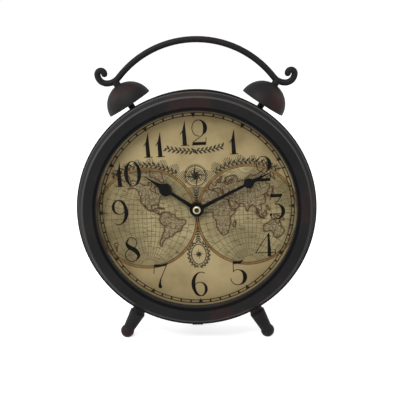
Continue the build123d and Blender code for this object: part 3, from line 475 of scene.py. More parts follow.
class Sheet:
    """Thin closed shapes that lie on the dial and make one piece."""

    def __init__(self):
        self.points = []
        self.faces = []

    def place(self, outline, lift):
        """Add the points of an outline at a height, and give their numbers."""
        start = len(self.points)
        self.points += [on_dial(x, y, lift) for x, y in outline]
        return list(range(start, len(self.points)))

    def patch(self, outline, lift):
        """Filled outline."""
        top = self.place(outline, lift)
        low = self.place(outline, -INK_SINK)
        fans = tessellate_polygon([[Vector((x, y, 0.0)) for x, y in outline]])
        for a, b, c in fans:
            self.faces.append((top[a], top[b], top[c]))
            self.faces.append((low[c], low[b], low[a]))
        count = len(outline)
        for i in range(count):
            j = (i + 1) % count
            self.faces.append((low[i], low[j], top[j], top[i]))

    def stroke(self, line, widths, lift, closed=False):
        """Pen stroke along a line, with its full width at each point."""
        left, right = edges_of(line, widths, closed)
        rails = [self.place(rail, height) for rail in (left, right) for height in (lift, -INK_SINK)]
        top_left, low_left, top_right, low_right = rails
        count = len(line)
        for i in range(count if closed else count - 1):
            j = (i + 1) % count
            self.faces.append((top_right[i], top_right[j], top_left[j], top_left[i]))
            self.faces.append((low_left[i], low_left[j], low_right[j], low_right[i]))
            self.faces.append((top_left[i], top_left[j], low_left[j], low_left[i]))
            self.faces.append((low_right[i], low_right[j], top_right[j], top_right[i]))
        if not closed:
            for i, order in ((0, 1), (count - 1, -1)):
                cap = (top_left[i], low_left[i], low_right[i], top_right[i])
                self.faces.append(cap[::order])

    def finish(self, name, material):
        """Make the piece, which rides on the case."""
        mesh = bpy.data.meshes.new(name)
        mesh.from_pydata(self.points, [], self.faces)
        mesh.validate()
        mesh.materials.append(material)
        piece = bpy.data.objects.new(name, mesh)
        bpy.context.scene.collection.objects.link(piece)
        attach(piece, "case")


def edges_of(line, widths, closed):
    """Left and right edges of a stroke."""
    left = []
    right = []
    last = len(line) - 1
    for i, (x, y) in enumerate(line):
        before = line[i - 1] if i or closed else line[0]
        after = line[(i + 1) % len(line)] if i < last or closed else line[last]
        dx = after[0] - before[0]
        dy = after[1] - before[1]
        length = math.hypot(dx, dy) or 1.0
        half = widths[i] / 2 / length
        left.append((x - dy * half, y + dx * half))
        right.append((x + dy * half, y - dx * half))
    return left, right


def circle(x, y, radius, steps=96):
    """Points round a circle."""
    turns = [2 * math.pi * i / steps for i in range(steps)]
    return [(x + radius * math.cos(t), y + radius * math.sin(t)) for t in turns]


def smooth(knots, steps=10):
    """Curve through knots, each a tuple of numbers."""
    padded = [knots[0], *knots, knots[-1]]
    curve = []
    for a, b, c, d in zip(padded, padded[1:], padded[2:], padded[3:]):
        for i in range(steps):
            t = i / steps
            curve.append(tuple(
                0.5 * (2 * q + (r - p) * t + (2 * p - 5 * q + 4 * r - s) * t * t
                       + (3 * q - p - 3 * r + s) * t ** 3)
                for p, q, r, s in zip(a, b, c, d)
            ))
    curve.append(tuple(knots[-1]))
    return curve


# Dial numbers, drawn with thick and thin strokes in a square one unit high
NUMBER_HEIGHT = 21.9
NUMBER_RING = 67.0
HAIR = 0.030
FULL = 0.155
DIGIT_WIDTH = {0: 0.56, 1: 0.47, 2: 0.64}
LONE_WIDTH = 0.6
PAIR_SHIFT = -0.045
DOT_STEPS = 20
HOUR_STEP = 30


def bow(x, y, half_width, half_height, start, stop, side, full=FULL, steps=40):
    """Round stroke that swells where it runs upright: side 1 right, -1 left, 0 both."""
    line = []
    for i in range(steps + 1):
        turn = math.radians(start + (stop - start) * i / steps)
        across = math.cos(turn)
        weight = abs(across) if side == 0 else max(0.0, side * across)
        width = HAIR + (full - HAIR) * weight ** 2
        line.append((x + half_width * across, y + half_height * math.sin(turn), width))
    return line


def hairline(*knots):
    return [(x, y, HAIR) for x, y in knots]


def number_one():
    blade = [(0.03, 1.0), (0.085, 0.0), (-0.08, 0.0), (-0.09, 0.56)]
    return [hairline((-0.08, 0.57), (-0.16, 0.45)), hairline((-0.15, 0.01), (0.17, 0.01))], [blade]


def number_two():
    loop = bow(0.0, 0.67, 0.255, 0.315, 275, -40, 1)
    slope = smooth([(0.20, 0.47, 0.06), (0.08, 0.34, HAIR), (-0.10, 0.22, HAIR), (-0.25, 0.10, HAIR)])
    base = [(-0.28, 0.0), (-0.24, 0.12), (0.26, 0.12), (0.28, 0.16), (0.27, 0.0)]
    tick = hairline((0.27, 0.10), (0.28, 0.30))
    return [loop, slope, tick], [base]


def number_three():
    bar = [(-0.15, 0.87), (-0.12, 1.0), (0.28, 1.0), (0.32, 0.96), (0.26, 0.87)]
    tick = hairline((-0.14, 0.90), (-0.16, 0.76))
    slope = hairline((0.30, 0.95), (0.03, 0.58))
    bowl = bow(0.06, 0.295, 0.28, 0.295, 96, -150, 1)
    return [tick, slope, bowl], [bar, circle(-0.15, 0.17, 0.05, DOT_STEPS)]


def number_four():
    stem = [(0.175, 1.0), (0.235, 0.0), (0.085, 0.0), (0.10, 0.86)]
    slope = hairline((0.15, 0.95), (-0.40, 0.17))
    cross = hairline((-0.40, 0.165), (0.40, 0.165))
    tick = hairline((0.39, 0.09), (0.41, 0.30))
    return [slope, cross, tick], [stem]


def number_five():
    bar = [(-0.19, 0.86), (-0.19, 0.99), (0.02, 0.97), (0.25, 1.03), (0.10, 0.87)]
    upright = hairline((-0.18, 0.96), (-0.18, 0.52))
    bowl = bow(-0.01, 0.31, 0.29, 0.315, 130, -175, 1, full=0.165)
    return [upright, bowl], [bar]


def number_six():
    back = bow(0.06, 0.5, 0.33, 0.49, 62, 285, -1)
    bowl = bow(-0.01, 0.29, 0.25, 0.285, 180, -180, 1, full=0.115)
    return [back, bowl], []


def number_seven():
    bar = [(-0.28, 0.86), (-0.26, 0.98), (0.0, 0.955), (0.30, 1.02), (0.20, 0.90), (0.0, 0.87)]
    tick = hairline((-0.27, 0.90), (-0.30, 0.58))
    leg = smooth([
        (0.22, 0.93, HAIR), (0.10, 0.66, HAIR), (-0.04, 0.34, 0.045),
        (-0.08, 0.10, 0.11), (-0.07, 0.03, 0.13),
    ])
    return [tick, leg], [bar, circle(-0.065, 0.045, 0.068, DOT_STEPS)]


def number_eight():
    spine = smooth([
        (-0.12, 0.93, HAIR), (-0.20, 0.78, 0.09), (-0.12, 0.62, 0.155), (0.06, 0.51, 0.185),
        (0.20, 0.38, 0.165), (0.25, 0.22, 0.11), (0.14, 0.05, HAIR),
    ])
    upper = bow(0.0, 0.765, 0.20, 0.225, 0, 360, 0, full=HAIR)
    lower = bow(-0.01, 0.27, 0.265, 0.265, 0, 360, 0, full=HAIR)
    return [spine, upper, lower], []


def half_turn(strokes, fills):
    """A digit turned upside down."""
    turned = [[(-x, 1.0 - y, w) for x, y, w in line] for line in strokes]
    return turned, [[(-x, 1.0 - y) for x, y in shape] for shape in fills]


def number_nine():
    return half_turn(*number_six())


def number_zero():
    return [bow(0.0, 0.5, 0.26, 0.49, 0, 360, 0)], []


DIGITS = [
    number_zero, number_one, number_two, number_three, number_four,
    number_five, number_six, number_seven, number_eight, number_nine,
]


def dial_numbers():
    sheet = Sheet()
    for hour in range(1, 13):
        bearing = math.radians(HOUR_STEP * hour)
        digits = [int(letter) for letter in str(hour)]
        widths = [DIGIT_WIDTH.get(digit, LONE_WIDTH) * NUMBER_HEIGHT for digit in digits]
        edge = NUMBER_RING * math.sin(bearing) - sum(widths) / 2
        edge += PAIR_SHIFT * NUMBER_HEIGHT * (len(digits) - 1)
        base = NUMBER_RING * math.cos(bearing) - NUMBER_HEIGHT / 2
        for digit, digit_width in zip(digits, widths):
            middle = edge + digit_width / 2
            edge += digit_width
            draw_digit(sheet, digit, middle, base)
    sheet.finish("dial_numbers", finishes["number_ink"])


def digit_spots(points, middle, base):
    """Points of a digit at its place on the dial."""
    return [(middle + point[0] * NUMBER_HEIGHT, base + point[1] * NUMBER_HEIGHT) for point in points]


def draw_digit(sheet, digit, middle, base):
    """One digit with its middle and its base line at a place on the dial."""
    strokes, fills = DIGITS[digit]()
    for line in strokes:
        widths = [width * NUMBER_HEIGHT for _, _, width in line]
        sheet.stroke(digit_spots(line, middle, base), widths, NUMBER_LIFT)
    for shape in fills:
        sheet.patch(digit_spots(shape, middle, base), NUMBER_LIFT)


# Minute track: two rings with a bar at each minute and a wedge at each hour
TRACK_OUTER = 84.0
TRACK_INNER = 81.6
TRACK_LINE = 0.75
TRACK_BAR = 1.4
WEDGE_HALF = 2.1
WEDGE_DEPTH = 4.2
MINUTE_STEP = 6
MINUTES_PER_WEDGE = 5
TRACK_STEPS = 240


def round_spot(bearing, radius, along):
    """Place at a bearing from twelve, at a radius and some way along the turn."""
    across = radius * math.sin(bearing) + along * math.cos(bearing)
    return across, radius * math.cos(bearing) - along * math.sin(bearing)


def minute_track():
    sheet = Sheet()
    for radius in (TRACK_OUTER, TRACK_INNER):
        ring = circle(0, 0, radius, TRACK_STEPS)
        sheet.stroke(ring, [TRACK_LINE] * len(ring), TRACK_LIFT, closed=True)
    for minute in range(60):
        bearing = math.radians(MINUTE_STEP * minute)
        if minute % MINUTES_PER_WEDGE:
            bar = [round_spot(bearing, radius, 0) for radius in (TRACK_OUTER, TRACK_INNER)]
            sheet.stroke(bar, [TRACK_BAR, TRACK_BAR], TRACK_LIFT)
        else:
            wedge = [
                round_spot(bearing, TRACK_OUTER, WEDGE_HALF),
                round_spot(bearing, TRACK_OUTER, -WEDGE_HALF),
                round_spot(bearing, TRACK_OUTER - WEDGE_DEPTH, 0),
            ]
            sheet.patch(wedge, TRACK_LIFT)
    sheet.finish("minute_track", finishes["track_ink"])


# Two hemispheres side by side in equatorial stereographic projection
GLOBE_R = 43.6
GLOBE_X = 43.8
GLOBE_Y = -6.3
WEST_MIDDLE = -110
EAST_MIDDLE = 78
GLOBES = ((-GLOBE_X, WEST_MIDDLE), (GLOBE_X, EAST_MIDDLE))
GRID_STEP = 10
GRID_FINE = 5
GRID_END = 80
GLOBE_END = 90
GRID_WIDTH = 0.36
EQUATOR_WIDTH = 0.55
COAST_WIDTH = 0.85
SHORE_WIDTH = 2.6
RIM_WIDTH = 2.1
RIM_LINE = 0.5
MARK_SEED = 7
MARK_TRIES = 2600
MARK_WIDTH = 0.42
MARK_MARGIN = 2.5
MARK_LEAST = 0.4
MARK_MOST = 0.9
HILL_RISE = 0.6
WAVE_HALF = 2.2
WAVE_KNOT = 0.7
WAVE_RISE = 0.3
SEA_SHARE = 0.16
COAST_STEPS = 4
COAST_LEAST = 4

# Rough coasts as longitude and latitude, in degrees
COASTS = {
    "north_america": (
        (-168, 66), (-162, 70), (-141, 70), (-128, 70), (-115, 68), (-95, 68), (-94, 72), (-84, 70),
        (-82, 67), (-87, 64), (-94, 61), (-93, 58), (-85, 55), (-82, 53), (-79, 51), (-79, 55),
        (-77, 57), (-78, 62), (-70, 61), (-65, 59), (-62, 57), (-56, 52), (-60, 50), (-66, 50),
        (-65, 48), (-60, 46), (-66, 44), (-70, 43), (-74, 40), (-76, 35), (-81, 31), (-80, 26),
        (-82, 27), (-84, 30), (-90, 29), (-94, 29), (-97, 27), (-97, 22), (-95, 18), (-91, 19),
        (-90, 21), (-87, 21), (-88, 16), (-84, 16), (-83, 11), (-81, 9), (-77, 8), (-81, 7),
        (-85, 10), (-88, 13), (-95, 16), (-100, 17), (-105, 20), (-109, 26), (-113, 31), (-112, 27),
        (-110, 23), (-115, 29), (-117, 33), (-121, 35), (-124, 40), (-124, 48), (-128, 51),
        (-132, 56), (-138, 59), (-146, 60), (-152, 59), (-164, 55), (-158, 58), (-165, 62), (-161, 64),
    ),
    "south_america": (
        (-77, 8), (-75, 11), (-72, 12), (-62, 10), (-58, 7), (-52, 5), (-50, 0), (-44, -3), (-35, -5),
        (-35, -9), (-39, -14), (-39, -18), (-41, -22), (-48, -26), (-53, -34), (-58, -34), (-57, -37),
        (-62, -39), (-65, -42), (-68, -50), (-66, -55), (-71, -54), (-75, -49), (-73, -42), (-73, -37),
        (-71, -30), (-70, -18), (-76, -14), (-81, -5), (-80, 1), (-77, 4),
    ),
    "greenland": (
        (-45, 60), (-52, 64), (-54, 69), (-60, 75), (-70, 77), (-62, 81), (-35, 83), (-20, 80),
        (-21, 74), (-25, 70), (-36, 66), (-42, 62),
    ),
    "antilles": ((-85, 22), (-80, 23), (-74, 20), (-69, 19), (-75, 19)),
    "africa": (
        (-6, 36), (-10, 31), (-13, 27), (-17, 21), (-17, 14), (-13, 9), (-8, 4), (4, 6), (9, 4),
        (9, -1), (13, -8), (12, -17), (15, -27), (18, -34), (26, -34), (32, -29), (35, -24), (35, -20),
        (40, -15), (39, -6), (42, -1), (48, 5), (51, 12), (44, 10), (39, 15), (37, 20), (33, 28),
        (32, 31), (25, 31), (19, 30), (15, 32), (10, 34), (11, 37), (3, 37),
    ),
    "eurasia": (
        (-6, 36), (-9, 37), (-9, 43), (-2, 43), (-1, 46), (-5, 48), (1, 50), (4, 52), (8, 54), (8, 57),
        (11, 57), (11, 54), (19, 54), (21, 57), (29, 60), (22, 60), (25, 65), (17, 62), (17, 57),
        (12, 56), (7, 58), (5, 61), (14, 68), (27, 71), (41, 67), (38, 64), (54, 68), (68, 69), (73, 72),
        (100, 77), (113, 74), (140, 72), (160, 70), (180, 69), (190, 66), (180, 62), (170, 60),
        (162, 56), (157, 51), (156, 57), (155, 60), (143, 59), (135, 55), (141, 52), (140, 48),
        (131, 43), (127, 39), (129, 36), (126, 34), (125, 40), (118, 39), (122, 37), (119, 34),
        (122, 31), (117, 23), (108, 21), (106, 19), (109, 13), (105, 9), (101, 13), (100, 9), (104, 1),
        (98, 9), (97, 16), (94, 17), (90, 22), (87, 21), (80, 14), (77, 8), (73, 18), (72, 21),
        (67, 25), (57, 26), (48, 30), (54, 24), (60, 22), (55, 17), (45, 13), (39, 21), (34, 30),
        (36, 36), (27, 37), (29, 41), (41, 41), (38, 46), (31, 46), (26, 40), (23, 37), (19, 41),
        (13, 45), (18, 40), (16, 38), (10, 43), (3, 42), (0, 38),
    ),
    "britain": ((-5, 50), (1, 51), (-1, 55), (-5, 58), (-6, 56), (-3, 54), (-5, 52)),
    "iceland": ((-22, 64), (-14, 65), (-16, 66), (-24, 66)),
    "madagascar": ((44, -25), (43, -21), (45, -16), (49, -12), (50, -16), (47, -25)),
    "sumatra": ((95, 6), (98, 1), (102, -4), (106, -6), (104, -2), (100, 3)),
    "java": ((105, -7), (114, -9), (113, -7), (108, -6)),
    "borneo": ((109, 1), (110, -3), (116, -4), (119, 1), (117, 7), (113, 3)),
    "new_guinea": ((131, -1), (138, -2), (146, -6), (150, -10), (143, -9), (138, -8), (133, -4)),
    "japan": ((130, 32), (136, 36), (140, 40), (142, 45), (145, 43), (141, 40), (140, 35), (134, 33)),
    "luzon": ((120, 18), (122, 16), (125, 10), (125, 7), (122, 9), (120, 14)),
    "australia": (
        (114, -22), (115, -32), (118, -35), (124, -34), (130, -31), (137, -35), (140, -38), (147, -39),
        (150, -37), (153, -30), (153, -25), (146, -19), (143, -11), (141, -17), (136, -15), (136, -12),
        (131, -11), (126, -14), (122, -18),
    ),
    "new_zealand": ((173, -35), (178, -38), (174, -42), (168, -46), (172, -41)),
}


def on_globe(longitude, latitude, middle):
    """Place on a hemisphere of unit radius; places beyond its edge are moved to the edge."""
    east = math.radians(longitude - middle)
    north = math.radians(latitude)
    x = math.cos(north) * math.sin(east)
    y = math.sin(north)
    ahead = math.cos(north) * math.cos(east)
    away = math.hypot(x, y) or 1.0
    reach = math.tan(min(math.acos(max(-1.0, min(1.0, ahead))), math.pi / 2) / 2)
    return x / away * reach, y / away * reach, ahead > 0


def globe_outline(coast, middle):
    """Coast drawn smoothly on a hemisphere, or nothing if it lies on the other one."""
    closed = [*coast, coast[0]]
    fine = smooth(closed, COAST_STEPS)[:-1]
    spots = [on_globe(lon, lat, middle) for lon, lat in fine]
    if sum(seen for _, _, seen in spots) < COAST_LEAST:
        return None
    return [(x, y) for x, y, _ in spots]


def globe_to_dial(points, centre_x):
    """Places on a unit hemisphere as places on the dial."""
    return [(centre_x + GLOBE_R * x, GLOBE_Y + GLOBE_R * y) for x, y in points]


def drawn_coasts():
    """Outline of each coast on each hemisphere, on the dial."""
    for centre_x, middle in GLOBES:
        for coast in COASTS.values():
            outline = globe_outline(coast, middle)
            if outline:
                yield globe_to_dial(outline, centre_x)


def map_ground():
    sheet = Sheet()
    for centre_x, _ in GLOBES:
        sheet.patch(circle(centre_x, GLOBE_Y, GLOBE_R), GROUND_LIFT)
    sheet.finish("map_ground", finishes["map_ground"])


def map_shores():
    """Broad tint along the coasts."""
    sheet = Sheet()
    for line in drawn_coasts():
        sheet.stroke(line, [SHORE_WIDTH] * len(line), SHORE_LIFT, closed=True)
    sheet.finish("map_shores", finishes["shore_ink"])


def map_land():
    sheet = Sheet()
    for line in drawn_coasts():
        sheet.patch(line, LAND_LIFT)
    sheet.finish("map_land", finishes["map_land"])


def map_coasts():
    sheet = Sheet()
    for line in drawn_coasts():
        sheet.stroke(line, [COAST_WIDTH] * len(line), COAST_LIFT, closed=True)
    sheet.finish("map_coasts", finishes["coast_ink"])


def map_grid():
    sheet = Sheet()
    for centre_x, middle in GLOBES:
        lines = []
        for longitude in range(middle - GRID_END, middle + GRID_END + 1, GRID_STEP):
            lines.append([(longitude, latitude) for latitude in range(-GRID_END, GRID_END + 1, GRID_FINE)])
        side_to_side = range(middle - GLOBE_END, middle + GLOBE_END + 1, GRID_FINE)
        for latitude in range(-GRID_END, GRID_END + 1, GRID_STEP):
            lines.append([(longitude, latitude) for longitude in side_to_side])
        for line in lines:
            points = [on_globe(lon, lat, middle)[:2] for lon, lat in line]
            equator = all(lat == 0 for _, lat in line)
            width = EQUATOR_WIDTH if equator else GRID_WIDTH
            sheet.stroke(globe_to_dial(points, centre_x), [width] * len(points), GRID_LIFT)
    sheet.finish("map_grid", finishes["grid_ink"])


def within(x, y, outline):
    """True if a place lies inside an outline."""
    odd = False
    for (ax, ay), (bx, by) in zip(outline, outline[1:] + outline[:1]):
        if (ay > y) != (by > y) and x < ax + (bx - ax) * (y - ay) / (by - ay):
            odd = not odd
    return odd


def map_marks():
    """Small hills on the land and short wave lines on the sea, as old maps have."""
    sheet = Sheet()
    chance = random.Random(MARK_SEED)
    coasts = list(drawn_coasts())
    for _ in range(MARK_TRIES):
        centre_x = chance.choice((-GLOBE_X, GLOBE_X))
        bearing = chance.uniform(0, 2 * math.pi)
        reach = (GLOBE_R - MARK_MARGIN) * math.sqrt(chance.random())
        x = centre_x + reach * math.cos(bearing)
        y = GLOBE_Y + reach * math.sin(bearing)
        size = chance.uniform(MARK_LEAST, MARK_MOST)
        if any(within(x, y, coast) for coast in coasts):
            rise = size * HILL_RISE
            mark = [(x - size, y - rise), (x, y + rise), (x + size, y - rise)]
        elif chance.random() < SEA_SHARE:
            mark = [
                (x - WAVE_HALF * size, y), (x - WAVE_KNOT * size, y + WAVE_RISE),
                (x + WAVE_KNOT * size, y - WAVE_RISE), (x + WAVE_HALF * size, y),
            ]
        else:
            continue
        sheet.stroke(mark, [MARK_WIDTH] * len(mark), MARK_LIFT)
    sheet.finish("map_marks", finishes["mark_ink"])


def map_rims():
    sheet = Sheet()
    for centre_x, _ in GLOBES:
        rim = circle(centre_x, GLOBE_Y, GLOBE_R)
        sheet.stroke(rim, [RIM_WIDTH] * len(rim), RIM_LIFT, closed=True)
    sheet.finish("map_rims", finishes["rim_ink"])


def rim_lines():
    sheet = Sheet()
    for centre_x, _ in GLOBES:
        for step in (-1, 1):
            line = circle(centre_x, GLOBE_Y, GLOBE_R + step * RIM_WIDTH / 2)
            sheet.stroke(line, [RIM_LINE] * len(line), RIM_LINE_LIFT, closed=True)
    sheet.finish("rim_lines", finishes["coast_ink"])


# Plain ornament: laurel branches, fine hatching, a wind rose and a star in an oval, with angles in degrees.
# A ring of the rose has its share of the radius and its line width, one of the oval its growth and line
# width, and a spray its start and its rise
ROSE_Y = 29.5
ROSE_R = 11.0
ROSE_RINGS = ((0.48, 0.5), (0.6, 0.4), (0.8, 0.8), (0.9, 0.4))
RING_STEPS = 64
SWAG_Y = 54.5
SWAG_HALF = 25.0
SWAG_DROP = 3.5
SWAG_STEPS = 14
SWAG_KNOT = 1.6
KNOT_STEPS = 24
OVAL_Y = -40.0
OVAL_HALF_WIDTH = 6.4
OVAL_HALF_HEIGHT = 9.0
OVAL_RINGS = ((0.0, 0.9), (1.5, 0.4))
OVAL_STAR = 0.9
WREATH_GAP = 2.4
WREATH_LEAF = 2.6
WREATH_START = -84
WREATH_STEP = 9
WREATH_POINTS = 18
STAR_POINTS = 16
STAR_REACHES = (1.0, 0.5, 0.72, 0.5)
STAR_WAIST = 0.2
STEM_WIDTH = 0.6
LEAF_LEAN = 44
LEAF_LENGTH = 4.4
LEAF_SHARE = 0.44
LEAF_OUTLINE = ((0.0, 0.0), (0.3, 0.42), (0.6, 0.38), (1.0, 0.0), (0.6, -0.38), (0.3, -0.42))
BERRY_OUT = 0.3
BERRY_R = 0.5
BERRY_STEPS = 12
BRANCH_GAP = 3.4
BRANCH_START = 54
BRANCH_STEP = 2.4
BRANCH_POINTS = 31
SPRAY_LEAVES = 6
SPRAY_LEAN = 42
SPRAY_FIRST = 1.4
SPRAY_GROWTH = 0.62
SPRAY_WIDTH = 1.5
UPPER_SPRAY = (4.0, 13.0)
LOWER_SPRAY = (-16.0, -12.0)


def leaf(sheet, x, y, bearing, length, width):
    """Pointed leaf that starts at a place and points along a bearing from the x axis."""
    dx = math.cos(bearing)
    dy = math.sin(bearing)
    sheet.patch([
        (x + dx * u * length - dy * v * width, y + dy * u * length + dx * v * width)
        for u, v in LEAF_OUTLINE
    ], ORNAMENT_LIFT)


def garland(sheet, line, length):
    """Laurel branch: a stem with leaves that lean forward along it by turns, and berries opposite them."""
    sheet.stroke(line, [STEM_WIDTH] * len(line), ORNAMENT_LIFT)
    for index, ((ax, ay), (bx, by)) in enumerate(zip(line, line[1:])):
        along = math.atan2(by - ay, bx - ax)
        side = 1 if index % 2 else -1
        leaf(sheet, ax, ay, along + side * math.radians(LEAF_LEAN), length, length * LEAF_SHARE)
        bearing = along - side * math.pi / 2
        berry_x = ax + BERRY_OUT * length * math.cos(bearing)
        berry_y = ay + BERRY_OUT * length * math.sin(bearing)
        sheet.patch(circle(berry_x, berry_y, BERRY_R, BERRY_STEPS), ORNAMENT_LIFT)


def globe_garland(sheet, side):
    """Branch that lies on the top of a hemisphere and points away from the middle of the dial."""
    ring = GLOBE_R + BRANCH_GAP
    line = []
    for index in range(BRANCH_POINTS):
        bearing = math.radians(BRANCH_START + BRANCH_STEP * index)
        line.append((side * (GLOBE_X + ring * math.cos(bearing)), GLOBE_Y + ring * math.sin(bearing)))
    garland(sheet, line[::-1], LEAF_LENGTH)


HATCH_START = 52.0
HATCH_STOP = 140.0
HATCH_WIDTH = 0.52
HATCH_STEP = 1.5
HATCH_GAP = 1.6
HATCH_RISE = 5.0
HATCH_SCALLOP = 5.5
HATCH_LOBES = 7
GAP_LOW = 7.0
GAP_HIGH = 19.5
GAP_STEP = 0.95


def globe_hatching(sheet, side):
    """Fine lines that fan out over the top of a hemisphere, with a scalloped end."""
    sweep = HATCH_STOP - HATCH_START
    for index in range(int(sweep / HATCH_STEP) + 1):
        angle = HATCH_START + HATCH_STEP * index
        share = (angle - HATCH_START) / sweep
        lobe = abs(math.sin(HATCH_LOBES * math.pi * share))
        inner = GLOBE_R + HATCH_GAP
        outer = inner + HATCH_RISE * share + HATCH_SCALLOP * lobe
        bearing = math.radians(angle)
        line = [
            (side * (GLOBE_X + reach * math.cos(bearing)), GLOBE_Y + reach * math.sin(bearing))
            for reach in (inner, outer)
        ]
        sheet.stroke(line, [HATCH_WIDTH, HATCH_WIDTH], HATCH_LIFT)


def gap_hatching(sheet):
    """Level lines in the wedge between the hemispheres, above the hands."""
    y = GAP_LOW
    while y < GAP_HIGH:
        half = GLOBE_X - math.sqrt(GLOBE_R ** 2 - (y - GLOBE_Y) ** 2) - HATCH_GAP
        sheet.stroke([(-half, y), (half, y)], [HATCH_WIDTH, HATCH_WIDTH], HATCH_LIFT)
        y += GAP_STEP


def swag(sheet):
    """Two branches that meet under the number at the top."""
    for side in (-1, 1):
        steps = [index / SWAG_STEPS for index in range(SWAG_STEPS + 1)]
        line = [(side * SWAG_HALF * u, SWAG_Y - SWAG_DROP * (1 - u * u)) for u in steps]
        garland(sheet, line, LEAF_LENGTH)
    sheet.patch(circle(0, SWAG_Y - SWAG_DROP, SWAG_KNOT, KNOT_STEPS), ORNAMENT_LIFT)


def star(sheet, x, y, radius):
    """Star of half-dark points."""
    for turn in range(STAR_POINTS):
        bearing = math.radians(360 / STAR_POINTS * turn)
        reach = radius * STAR_REACHES[turn % len(STAR_REACHES)]
        half = radius * STAR_WAIST
        out = (math.sin(bearing), math.cos(bearing))
        sheet.patch([
            (x + out[0] * reach, y + out[1] * reach),
            (x - out[1] * half, y + out[0] * half),
            (x, y),
        ], ORNAMENT_LIFT)


def wind_rose(sheet):
    star(sheet, 0, ROSE_Y, ROSE_R)
    for share, width in ROSE_RINGS:
        ring = circle(0, ROSE_Y, ROSE_R * share, RING_STEPS)
        sheet.stroke(ring, [width] * len(ring), ORNAMENT_LIFT, closed=True)


def leaf_spray(sheet, start, rise):
    """Upright spray between the hemispheres, with leaves that grow along it."""
    step = rise / SPRAY_LEAVES
    sheet.stroke([(0, start), (0, start + rise)], [STEM_WIDTH, STEM_WIDTH], ORNAMENT_LIFT)
    upright = math.copysign(90, rise)
    for index in range(SPRAY_LEAVES):
        length = SPRAY_FIRST + SPRAY_GROWTH * index
        for side in (-1, 1):
            bearing = math.radians(upright + SPRAY_LEAN * side)
            leaf(sheet, 0, start + step * (index + 0.5), bearing, length, SPRAY_WIDTH)


def star_oval(sheet):
    star(sheet, 0, OVAL_Y, OVAL_HALF_WIDTH * OVAL_STAR)
    for grow, width in OVAL_RINGS:
        ring = [
            (x * (OVAL_HALF_WIDTH + grow), OVAL_Y + y * (OVAL_HALF_HEIGHT + grow))
            for x, y in circle(0, 0, 1, RING_STEPS)
        ]
        sheet.stroke(ring, [width] * len(ring), ORNAMENT_LIFT, closed=True)
    wreath_x = OVAL_HALF_WIDTH + WREATH_GAP
    wreath_y = OVAL_HALF_HEIGHT + WREATH_GAP
    bearings = [math.radians(WREATH_START + WREATH_STEP * index) for index in range(WREATH_POINTS)]
    for side in (-1, 1):
        line = [(side * wreath_x * math.cos(b), OVAL_Y + wreath_y * math.sin(b)) for b in bearings]
        garland(sheet, line, WREATH_LEAF)


def dial_ornament():
    sheet = Sheet()
    wind_rose(sheet)
    leaf_spray(sheet, *UPPER_SPRAY)
    leaf_spray(sheet, *LOWER_SPRAY)
    star_oval(sheet)
    swag(sheet)
    gap_hatching(sheet)
    for side in (-1, 1):
        globe_garland(sheet, side)
        globe_hatching(sheet, side)
    sheet.finish("dial_ornament", finishes["ornament_ink"])


# Inks and tints of the print
MAP_DARK = (0.116, 0.094, 0.046)
MAP_MID = (0.240, 0.198, 0.102)
MAP_LIGHT = (0.352, 0.294, 0.158)
finishes["number_ink"] = ink("number_ink", (0.005, 0.005, 0.005), (0.009, 0.008, 0.007))
finishes["track_ink"] = ink("track_ink", (0.016, 0.013, 0.010), (0.040, 0.030, 0.018))
# map ground with painted shade towards the edge
finishes["map_ground"] = age_edge(surface(
    "map_ground", [(0.32, MAP_DARK), (0.5, MAP_MID), (0.68, MAP_LIGHT)], scale=28.0, rough=(0.5, 0.65),
    specular=0.1, detail=12.0,
))
finishes["map_land"] = ink("map_land", (0.082, 0.064, 0.036), (0.330, 0.264, 0.152), scale=900.0)
finishes["shore_ink"] = ink("shore_ink", (0.150, 0.115, 0.055), (0.240, 0.190, 0.095), scale=300.0)
finishes["coast_ink"] = ink("coast_ink", (0.040, 0.022, 0.015), (0.080, 0.045, 0.028))
finishes["grid_ink"] = ink("grid_ink", (0.070, 0.054, 0.028), (0.130, 0.100, 0.052))
finishes["mark_ink"] = ink("mark_ink", (0.045, 0.034, 0.020), (0.125, 0.094, 0.052))
finishes["rim_ink"] = ink("rim_ink", (0.130, 0.074, 0.024), (0.230, 0.140, 0.050), scale=160.0)
finishes["ornament_ink"] = ink("ornament_ink", (0.016, 0.016, 0.012), (0.070, 0.060, 0.040), scale=300.0)


def dress_dial():
    map_ground()
    map_shores()
    map_land()
    map_grid()
    map_marks()
    map_coasts()
    map_rims()
    rim_lines()
    dial_ornament()
    minute_track()
    dial_numbers()


# Floor, light and camera
FLOOR_R = 8.0
FLOOR_STEPS = 96
FLOOR_SCALE = 3.0
FLOOR_ROUGH = 0.9
FLOOR_GLOW = 0.66
FLOOR_TONE = (0.82, 0.82, 0.82)
FLOOR_TONE_HIGH = (0.85, 0.85, 0.85)


def background_rays(tree):
    """One for the rays that show the white background, to the camera or in gloss and glass."""
    path = tree.nodes.new("ShaderNodeLightPath")
    value = path.outputs["Is Camera Ray"]
    for kind in ("Is Glossy Ray", "Is Transmission Ray"):
        either = tree.nodes.new("ShaderNodeMath")
        either.operation = "MAXIMUM"
        tree.links.new(value, either.inputs[0])
        tree.links.new(path.outputs[kind], either.inputs[1])
        value = either.outputs["Value"]
    return value


